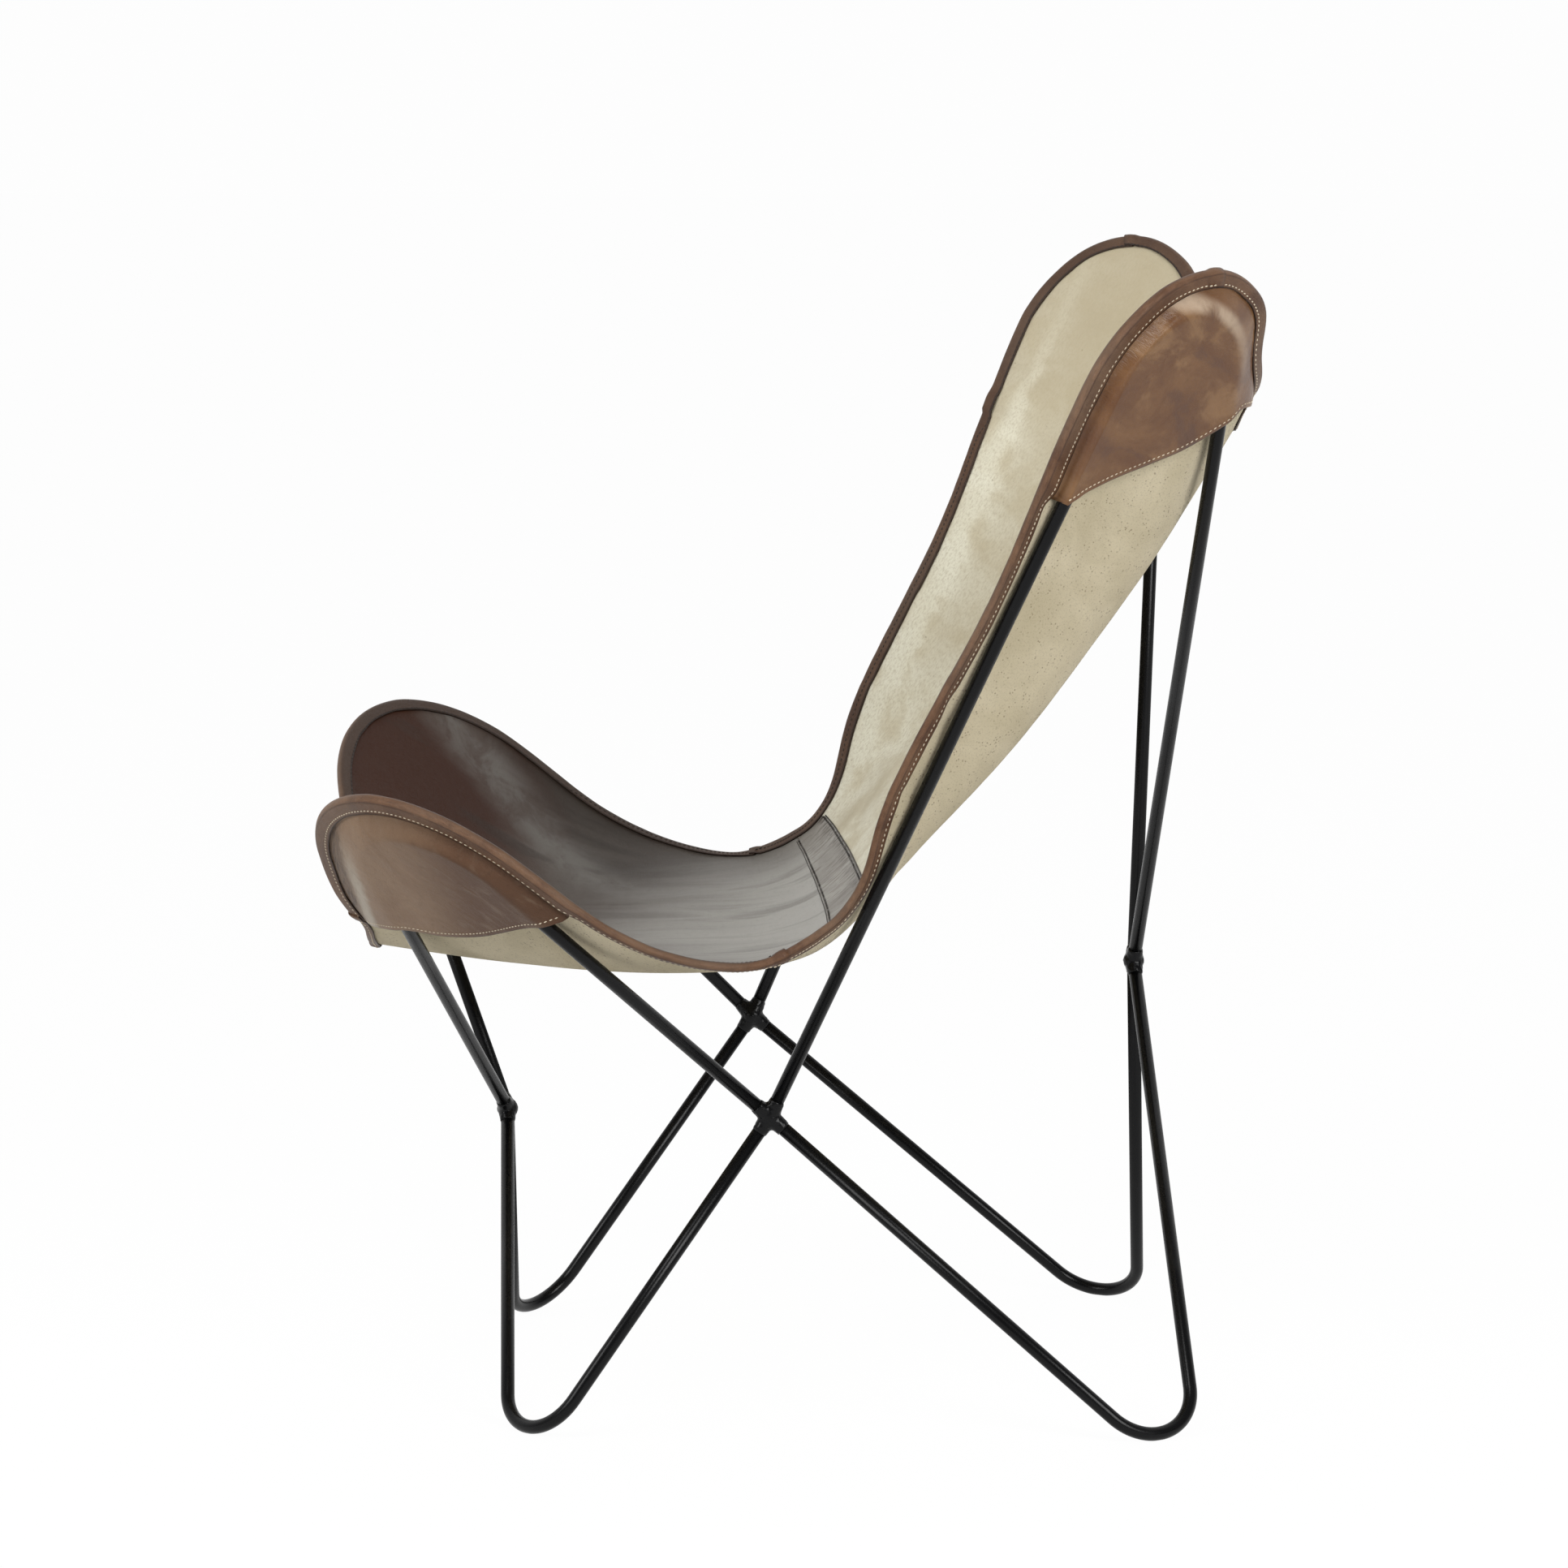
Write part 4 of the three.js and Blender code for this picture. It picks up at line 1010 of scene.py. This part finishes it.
# Dark lines along both seam rows and both edges of the band: grime in the sunk rows, and painted
# shade along the edges where the band steps down onto the lining.
for row in (*seam_rows, low - band_lap, high + band_lap):
    groove = 1 - ((band_leather.along - row) / groove_half_width).size().between(0.3, 1)
    band_leather.paint_wear_and_light(groove * 0.8, groove_grime_and_shade)
    band_leather.height = band_leather.height - groove * 6
band_leather.height = band_leather.height + brushing * 2
band_hide = band_leather.dressed(0.54, 0.4, 0.36, hide_grain_depth)

pucker = lumps(band_net * puckers_per_metre, pucker_seed) * pucker_height
to_seam = np.minimum(band_net[..., 1] - low, high - band_net[..., 1])
pucker *= np.exp(-np.maximum(to_seam, 0) / pucker_reach)
from_end = band_net[:, -1:, 0] - np.abs(band_net[..., 0])
clear_of_binding = np.clip((from_end - flat_end) / flat_end_fade, 0, 1)
sewn_panel("lap_band_hide", band_net, panel_bottom + (band_lift + pucker) * clear_of_binding,
           band_hide, "band_leather", "lap_band")


# The binding: strips of tan leather folded round the raw edge of all the layers and sewn
# through, end to end all the way round, with a short lap wherever one strip runs out.
binding_outer_reach = 0.0118
bare_outer_reach = 0.0078
binding_inner_reach = 0.0098
fold_steps = 9
leg_steps = 4
edge_step = 0.004
joint_lap = 0.007
lap_ramp = 0.004
patch_rise = 0.012
patch_fall = 0.003
pocket_fade = 0.02
wobbles_per_metre = 45
wobble_seed = 2.5
wobble_height = 0.0003
wobble_share = 0.07
ripples_per_metre = (110, 160)
ripple_seed = 6.5
ripple_height = 0.0003
stretch_lengths = []
half_line = [np.asarray(front_middle)[None]]
stretches = (front_middle_at, front_corner_at, hip_at, waist_at, rear_corner_at, rear_middle_at)
for start, stop in zip(stretches, stretches[1:]):
    line = rim_between(start, stop, rim_samples)
    stretch_lengths.append(running_length(line)[-1])
    half_line.append(line[1:])
half_line = np.vstack(half_line)
loop_line = np.vstack([half_line, half_line[-2::-1] * mirrored])
loop_lengths = running_length(loop_line)
loop_length = loop_lengths[-1]
loop_ways = unit(np.gradient(loop_line, loop_lengths, axis=0))
loop_ways[0] = loop_ways[-1] = (1, 0)
# Where the strips meet, as a share of a stretch of the edge between a tongue, hip and waist.
front_joint = stretch_lengths[0] / 3
seat_joint = stretch_lengths[0] + stretch_lengths[1] * 8 / 9
rear_joint = sum(stretch_lengths[:4]) + stretch_lengths[4] / 9


def edge_place(lengths, inset):
    """Places on the cut at lengths round the edge from its front middle, set in from it"""
    lengths = np.mod(lengths, loop_length)
    way = unit(read_off(loop_ways, loop_lengths, lengths))
    return (read_off(loop_line, loop_lengths, lengths)
            + np.stack([-way[..., 1], way[..., 0]], -1) * inset[..., None])


tongues["front"]["ends"] = (0.5109, 0.1277)
tongues["rear"]["ends"] = (1.1321, 1.5283)
pocket_thickness = 0.0016
pocket_spans = []
for tongue in tongues.values():
    ends = sorted(tongue["ends"])
    pocket_spans += [ends, [loop_length - ends[1], loop_length - ends[0]]]


def over_pocket(lengths):
    """1 where the edge has a pocket sewn under it, 0 elsewhere"""
    lengths = np.mod(lengths, loop_length)
    return np.max([window(lengths, a, b, pocket_fade) for a, b in pocket_spans], axis=0)


extra_laps = [(-0.012, 0.0433), (2.2838, 2.3097)]
binding_low = -binding_ease - binding_thickness / 2
binding_high = stack_top + binding_ease + binding_thickness / 2


def binding_swell(lengths):
    """How far the outer leg of the binding stands off for the pocket that is sewn under it"""
    return over_pocket(lengths) * (pocket_thickness + fit_gap)


def binding_wobble(lengths):
    """Small ups and downs along the binding, from -1 to 1"""
    return np.array([noise.noise((length * wobbles_per_metre, 0, wobble_seed))
                     for length in lengths])


def outer_reach(lengths):
    """How far the outer leg comes in: it is wider where it holds a pocket"""
    return bare_outer_reach + (binding_outer_reach - bare_outer_reach) * over_pocket(lengths)


def binding_lap(lengths, stop):
    """How far a strip stands off where it lies over the next one, or over a patch"""
    lap = np.clip((lengths - (stop - joint_lap - lap_ramp)) / lap_ramp, 0, 1)
    for first, last in extra_laps:
        rise = np.clip((lengths - first) / patch_rise, 0, 1)
        lap = lap + rise * np.clip((last - lengths) / patch_fall + 1, 0, 1)
    return np.minimum(lap, 1) * binding_thickness


def binding_strip(start, stop):
    """One strip from length to length round the edge, with its flat width and length"""
    count = round((stop - start) / edge_step)
    lengths = np.linspace(start, stop, count + 1)
    radius = (binding_high - binding_low) / 2
    turn = np.linspace(-math.pi / 2, math.pi / 2, fold_steps + 1)
    outer = np.linspace(binding_outer_reach, radius, leg_steps, endpoint=False)
    slack = binding_outer_reach - outer_reach(lengths)
    inner = np.linspace(binding_inner_reach, radius, leg_steps, endpoint=False)[::-1]
    inset = np.concatenate([outer, radius - radius * np.cos(turn), inner])
    rise = np.concatenate([outer * 0 - 1, np.sin(turn), inner * 0 + 1])
    swell = binding_swell(lengths)[:, None]
    lap = binding_lap(lengths, stop)[:, None]
    wobble = binding_wobble(lengths)[:, None]
    on_strip = np.stack(np.broadcast_arrays(lengths[:, None], inset), -1)
    ripple = lumps(on_strip * ripples_per_metre, ripple_seed) * (1 - rise ** 2)
    width = np.hypot(np.diff(inset), np.diff(rise) * radius)
    width = np.concatenate([[0], np.cumsum(width)])
    outside = np.clip((inset - radius) / (binding_outer_reach - radius), 0, 1) * (rise < 0)
    middle = (binding_high + binding_low) / 2 - swell / 2
    half = radius + swell / 2 + lap
    inset = inset[None] * (1 + wobble * wobble_share) - outside * slack[:, None] - lap
    offset = middle + half * rise[None] + wobble * wobble_height + ripple * ripple_height
    places = sewn_place(edge_place(lengths[:, None] + 0 * inset, inset), offset)
    flat = np.stack(np.broadcast_arrays(width, lengths[:, None]), -1)
    shape, _index = gridded(places, flat)
    bmesh.ops.recalc_face_normals(shape, faces=shape.faces)
    return shape, width[-1], stop - start


fold_middle = 0.0134
greyed_tan = rgba(0.19, 0.132, 0.09)
inner_leg_painted_shade = rgba(0.05, 0.03, 0.021)
rubbed_tan = rgba(0.25, 0.13, 0.07)
streak_tan = rgba(0.045, 0.026, 0.018)
crease_tan = rgba(0.05, 0.026, 0.016)
cut_tan = rgba(0.03, 0.018, 0.013)
tan_strip = Hide("binding_hide", rgba(0.085, 0.039, 0.02), rgba(0.14, 0.073, 0.039), 0.4)
round_edge = tan_strip.along
front_half = 1 - round_edge.between(0.62, 0.84) + round_edge.between(2.67, 2.89)
streaks = tan_strip.cloud(tan_strip.stretched(tan_strip.place, 5, 0.8), 0.012, 4, 0.65)
greyed = tan_strip.cloud(tan_strip.place, 0.16, 3).between(0.42, 0.6)
tan_strip.paint_wear_and_light(greyed * 0.35, greyed_tan)
inner_leg = tan_strip.across.between(fold_middle + 0.001, fold_middle + 0.004)
# Painted shade: the inner leg of the binding, on the seat side, is darkened, more so on the front
# half.
tan_strip.paint_wear_and_light(inner_leg * (front_half * 0.55 + 0.35), inner_leg_painted_shade)
rubbed = 1 - ((tan_strip.across - fold_middle + 0.0012) / 0.0026).size().between(0.1, 1)
tan_strip.paint_wear_and_light(rubbed * streaks.between(0.42, 0.62) * 0.3, rubbed_tan)
tan_strip.paint_wear_and_light(streaks.between(0.56, 0.7) * 0.3, streak_tan)
crease_line = 1 - ((tan_strip.across - fold_middle + 0.0034) / 0.0007).size().between(0.3, 1)
tan_strip.paint_wear_and_light(crease_line * streaks.between(0.3, 0.5) * 0.6, crease_tan)
outer_cut = 1 - tan_strip.across.between(0.0003, 0.0011)
inner_cut = tan_strip.across.between(0.0232, 0.024)
tan_strip.paint_wear_and_light(outer_cut.most(inner_cut) * 0.8, cut_tan)
tan_strip.height = tan_strip.height + streaks * 1.5
binding_hide = tan_strip.dressed(0.46, 0.34, 0.24, 0.0004)
strips = {
    "front_edge_binding": (-front_joint, front_joint),
    "right_seat_binding": (front_joint, seat_joint),
    "right_back_binding": (seat_joint, rear_joint),
    "rear_edge_binding": (rear_joint, loop_length - rear_joint),
    "left_back_binding": (loop_length - rear_joint, loop_length - seat_joint),
    "left_seat_binding": (loop_length - seat_joint, loop_length - front_joint),
}
for name, (start, stop) in strips.items():
    shape, width, length = binding_strip(start, stop + joint_lap)
    strip = finished(f"folded_{name}", shape, binding_hide, "binding_leather", name)
    thickened(strip, binding_thickness, 0)


# The stitching: waxed thread, pale on the outside and dark on the inside, in one even row
# through both legs of the binding and all the layers between them.
stitch_pitch = 0.0042
stitch_length = 0.0032
stitch_width = 0.0013
stitch_rise = 0.0011
stitch_lean = 0.12
stitch_margin = 0.0028
stitch_sink = 0.0001
grime_brown = rgba(0.1, 0.07, 0.05)
twist_brown = rgba(0.05, 0.035, 0.025)
thread_colours = {"pale": rgba(0.72, 0.62, 0.46), "dark": rgba(0.014, 0.01, 0.008)}
threads = {}
for shade, colour in thread_colours.items():
    thread = Finish(f"{shade}_thread")
    twist = thread.cloud(thread.object_place(), 0.0009, 2, 0.6)
    grime = thread.cloud(thread.object_place(), 0.05, 3, 0.6).between(0.45, 0.7)
    soiled = thread.tint(grime * 0.3, colour, grime_brown)
    threads[shade] = thread.surface({
        "Base Color": thread.tint(twist * 0.2, soiled, twist_brown),
        "Roughness": 0.8,
        "Normal": thread.raised(twist, 0.0002),
    })


def sewn_row(name, places, normals, shade, slot):
    """One small sunk stitch at each place, along the way that the row runs"""
    ways = unit(np.gradient(places, axis=0))
    shape = bmesh.new()
    for place, way, normal in zip(places, ways, unit(normals)):
        side = np.cross(normal, way)
        way = way + side * stitch_lean
        turned = Matrix((way, np.cross(normal, way), normal)).transposed().to_4x4()
        size = Matrix.Diagonal((stitch_length / 2, stitch_width / 2, stitch_rise / 2, 1))
        bmesh.ops.create_icosphere(shape, subdivisions=1, radius=1,
                                   matrix=Matrix.Translation(place) @ turned @ size)
    finished(name, shape, threads[shade], slot)


for name, (start, stop) in strips.items():
    count = int((stop - start) / stitch_pitch)
    lengths = start + (np.arange(count) + 0.5) * (stop - start) / count
    cut = edge_place(lengths, outer_reach(lengths) - stitch_margin)
    wobble = binding_wobble(lengths) * wobble_height
    on_leg = binding_thickness / 2 + binding_lap(lengths, stop) - stitch_sink
    for face, shade, level, facing in (
            ("outer", "pale", binding_low - binding_swell(lengths) - on_leg, -1),
            ("inner", "dark", binding_high + on_leg, 1)):
        sewn_row(f"{face}_row_{name}", sewn_place(cut, level + wobble),
                 hung_normal(cut) * facing, shade, "binding_leather")

band_row_reach = band_net[0, -1, 0] - binding_inner_reach - stitch_length
band_row_count = int(2 * band_row_reach / stitch_pitch)
on_band = np.full(band_row_count, panel_bottom + band_lift + panel_thickness - stitch_sink)
for seam, row_at in zip(("front", "rear"), seam_rows):
    cut = np.linspace((-band_row_reach, row_at), (band_row_reach, row_at), band_row_count)
    sewn_row(f"{seam}_row_lap_band", sewn_place(cut, on_band), hung_normal(cut), "dark",
             "band_leather")


# The pockets: tan leather sewn under the binding of each tongue and stretched over the ear's
# rod. The rod's bend and legs swell it, and its free edge is stitched where they come out.
# Painted highlights lie along the swelling over the bend, and painted shade lies on the front
# pockets' slope and in their wrinkles.
pocket_inset = 0.0134
pocket_gap = 0.0009
pocket_ease = 0.0018
pocket_columns = 72
pocket_rows = 44
tuck_rows = 3
tuck_inset = 0.0035
crest_softness = 0.004
tongues["front"]["mouth"] = [(0.78, -0.105), (0.61, -0.14), (0.35, -0.23), (0.11, -0.3),
                             (-0.22, -0.34), (-0.54, -0.32), (-0.8, -0.38)]
tongues["rear"]["mouth"] = [(0.8, -0.745), (0.7, -0.695), (0.44, -0.615), (0.12, -0.54),
                            (-0.17, -0.472), (-0.42, -0.38), (-0.62, -0.3), (-0.82, -0.217)]
swell_power = 0.7
mouth_row_inset = 0.0035
least_reach = 1e-9
same_place = 1e-5


def about_bend(hide, ear, shift=0):
    """Where a place lies across and along from a bend's middle, and how far outside its arc"""
    middle = cut_place_of([ear.centre])[0]
    across = hide.across.size() - middle[0]
    along = hide.along - (middle[1] + shift)
    return across, along, (across ** 2 + along ** 2) ** 0.5 - ear.bend_radius


seat_side_brown = rgba(0.09, 0.042, 0.021)
outer_strip_brown = rgba(0.095, 0.053, 0.034)
pull_tan = rgba(0.23, 0.165, 0.115)
slope_painted_shade = rgba(0.085, 0.06, 0.045)
ridge_highlight_tan = rgba(0.42, 0.37, 0.3)
wrinkle_shade_brown = rgba(0.045, 0.032, 0.024)
front_hide = Hide("front_pocket_hide", rgba(0.2, 0.122, 0.072), rgba(0.26, 0.172, 0.108), 0.8)
pulls = front_hide.cloud(front_hide.stretched(front_hide.place, 3, 1), 0.03, 4, 0.6, 0.4)
to_side = front_hide.across.size()
ridge = front_hide.along - 0.0331 + to_side * 0.185 + pulls * 0.008 - 0.004
towards_seat = front_hide.along + to_side * 0.3
front_hide.paint_wear_and_light((towards_seat + pulls * 0.03 - 0.015).between(0.102, 0.184) * 0.92,
                seat_side_brown)
off_across, _off_along, from_bend = about_bend(front_hide, front_ear)
outer_strip = off_across.between(0.005, 0.04) * from_bend.between(-0.034, 0.004)
front_hide.paint_wear_and_light(outer_strip * 0.55, outer_strip_brown)
front_hide.paint_wear_and_light(pulls.between(0.5, 0.7) * 0.35, pull_tan)
# A painted highlight along the ridge where the pocket turns over the rod's bend, partly paler
# stretched leather.
ridge_highlight_share = (1 - to_side.between(0.19, 0.27)) * 0.85
# Painted shade on the slope between the ridge and the front edge of the pocket.
front_hide.paint_wear_and_light((1 - ridge.between(-0.012, -0.002)) * 0.6, slope_painted_shade)
front_hide.paint_wear_and_light((1 - (ridge * 90).size().between(0.1, 1)) * ridge_highlight_share, ridge_highlight_tan)
wrinkles = front_hide.cloud(front_hide.stretched(front_hide.place, 0.5, 3), 0.009, 4, 0.65)
# Painted shade in the folds of the wrinkles in front of the ridge.
painted_wrinkle_shade = wrinkles.between(0.5, 0.6) * (1 - ridge.between(-0.014, -0.004))
front_hide.paint_wear_and_light(painted_wrinkle_shade * 0.6, wrinkle_shade_brown)
front_hide.height = (front_hide.height + pulls * 2
                     + wrinkles * (1 - ridge.between(-0.014, 0.004)) * 9)

crest_shift = 0.008
pull_orange = rgba(0.26, 0.145, 0.065)
rear_hollow_brown = rgba(0.088, 0.043, 0.028)
rear_strip_brown = rgba(0.105, 0.048, 0.026)
crest_highlight_tan = rgba(0.46, 0.35, 0.25)
rear_hide = Hide("rear_pocket_hide", rgba(0.12, 0.052, 0.021), rgba(0.175, 0.086, 0.036), 0.6)
pulls = rear_hide.cloud(rear_hide.place, 0.045, 5, 0.62, 0.5)
rear_hide.paint_wear_and_light(pulls.between(0.5, 0.64) * 0.6, pull_orange)
rear_hide.paint_wear_and_light((1 - pulls).between(0.54, 0.66) * 0.55, rear_hollow_brown)
off_across, off_along, from_bend = about_bend(rear_hide, rear_ear, crest_shift)
# A painted highlight along the top and right of the arch where the pocket swells over the rod's
# bend, partly paler polished leather.
crest_highlight = 1 - ((from_bend + pulls * 0.008 - 0.004) * 120).size().between(0.15, 1)
crest_highlight = crest_highlight * off_along.between(-0.01, 0.05) * (1 - off_across.between(0.034, 0.056))
crest_highlight = crest_highlight * (off_across.between(-0.045, -0.005) * 0.7 + 0.3)
outer_strip = off_across.between(0.018, 0.04) * from_bend.between(0.002, 0.014)
rear_hide.paint_wear_and_light(outer_strip * 0.65, rear_strip_brown)
rear_hide.paint_wear_and_light(crest_highlight * (pulls.between(0.4, 0.55) * 0.6 + 0.25), crest_highlight_tan)
rear_hide.height = rear_hide.height + pulls * 2
pocket_hides = {"front": front_hide.dressed(0.44, 0.3, 0.11, hide_grain_depth),
                "rear": rear_hide.dressed(0.36, 0.22, 0.24, 0.00025)}


def beyond_rod(loop, lateral, axial):
    """How far a place on a tongue lies outside the axis line of the rod's bend and legs"""
    away = np.hypot(lateral, axial)
    off = np.maximum(np.arccos(np.clip(axial / away, -1, 1)) - loop.half_sweep, 0)
    return away * np.cos(off) - loop.bend_radius


def pocket_nets(tongue):
    """The pocket's places on the cut, and how they lie under the sling and over the rod"""
    edge = np.linspace(*tongue["ends"], pocket_columns + 1)
    seam = edge_place(edge, np.full(len(edge), pocket_inset))
    tucked = edge_place(edge, np.full(len(edge), tuck_inset))
    lips = cut_place_of([on_tongue(tongue, a * tongue["radius"], b * tongue["radius"])
                         for a, b in tongue["mouth"]])
    mouth = curve_through([seam[0], *lips, seam[-1]], curve_steps, True)
    mouth = evened(mouth, pocket_columns + 1)
    share = np.linspace(0, 1, pocket_rows + 1)[:, None, None]
    spread = mouth[None] * (1 - share) + seam[None] * share
    share = np.linspace(0, 1, tuck_rows + 1)[1:, None, None]
    tuck = seam[None] * (1 - share) + tucked[None] * share
    free = np.concatenate([np.ones(pocket_rows + 1), np.zeros(tuck_rows)])[:, None]
    return np.concatenate([spread, tuck]), seam, free


def pocket_place(tongue, net, seam, free, outwards):
    """Where places of a pocket lie, at a height outwards from its inner face"""
    loop = tongue["loop"]
    point, normal = hung(net), hung_normal(net)
    start = point - np.array(loop.centre)
    lateral, axial = start @ np.array(loop.lateral), start @ np.array(loop.axis)
    over_by = beyond_rod(loop, lateral, axial) - rod_radius - pocket_ease
    beyond = (over_by + np.sqrt(over_by ** 2 + crest_softness ** 2)) / 2
    beyond = np.maximum(beyond - crest_softness / 4, 0)
    flat = net.reshape(-1, 1, 2) - seam[None]
    to_seam = np.linalg.norm(flat, axis=-1).min(-1).reshape(net.shape[:-1]) * free
    swell = (to_seam / (to_seam + beyond + least_reach))[..., None] ** swell_power
    over = (np.array(loop.centre) + lateral[..., None] * np.array(loop.lateral)
            + axial[..., None] * np.array(loop.axis)
            - np.array(loop.normal) * (rod_radius + fit_gap))
    under = point - normal * pocket_gap
    inner = under * (1 - swell) + over * swell
    above = ((inner - under) * normal).sum(-1, keepdims=True)
    inner = inner - normal * np.maximum(above, 0)
    way = unit(normal * (1 - swell) + np.array(loop.normal) * swell)
    return inner - way * outwards + normal * creases(net)[..., None]


def pocket_shape(tongue, mirror):
    net, seam, free = pocket_nets(tongue)
    places = pocket_place(tongue, net, seam, free, pocket_thickness)
    outward = (pocket_place(tongue, net, seam, free, pocket_thickness * 2) - places) * mirror
    shape, index = gridded(places * mirror, net * mirror[:2])
    shape.normal_update()
    facing = sum(face.normal.dot(Vector(outward[index[face.verts[0]]])) for face in shape.faces)
    if facing < 0:
        bmesh.ops.reverse_faces(shape, faces=shape.faces)
    bmesh.ops.remove_doubles(shape, verts=shape.verts, dist=same_place)
    return shape, net


def mouth_row(name, tongue, mirror):
    """The pale row that is sewn along the free edge of a pocket"""
    net, seam, _free = pocket_nets(tongue)
    row = net[0, 2:-2] + unit(net[2, 2:-2] - net[0, 2:-2]) * mouth_row_inset
    row = evened(row, int(running_length(row)[-1] / stitch_pitch))
    places = pocket_place(tongue, row, seam, 1, pocket_thickness - stitch_sink)
    normals = pocket_place(tongue, row, seam, 1, pocket_thickness * 2) - places
    sewn_row(name, places * mirror, normals * mirror, "pale", "pocket_leather")


for end, tongue in tongues.items():
    for hand, way in hands.items():
        mirror = np.array((way, 1, 1))
        shape, net = pocket_shape(tongue, mirror)
        pocket = finished(f"sewn_{end}_{hand}_pocket", shape, pocket_hides[end],
                          "pocket_leather", f"{end}_{hand}_pocket")
        mouth_row(f"mouth_row_{end}_{hand}_pocket", tongue, mirror)
        thickened(pocket, pocket_thickness, -1)
        declared(net)
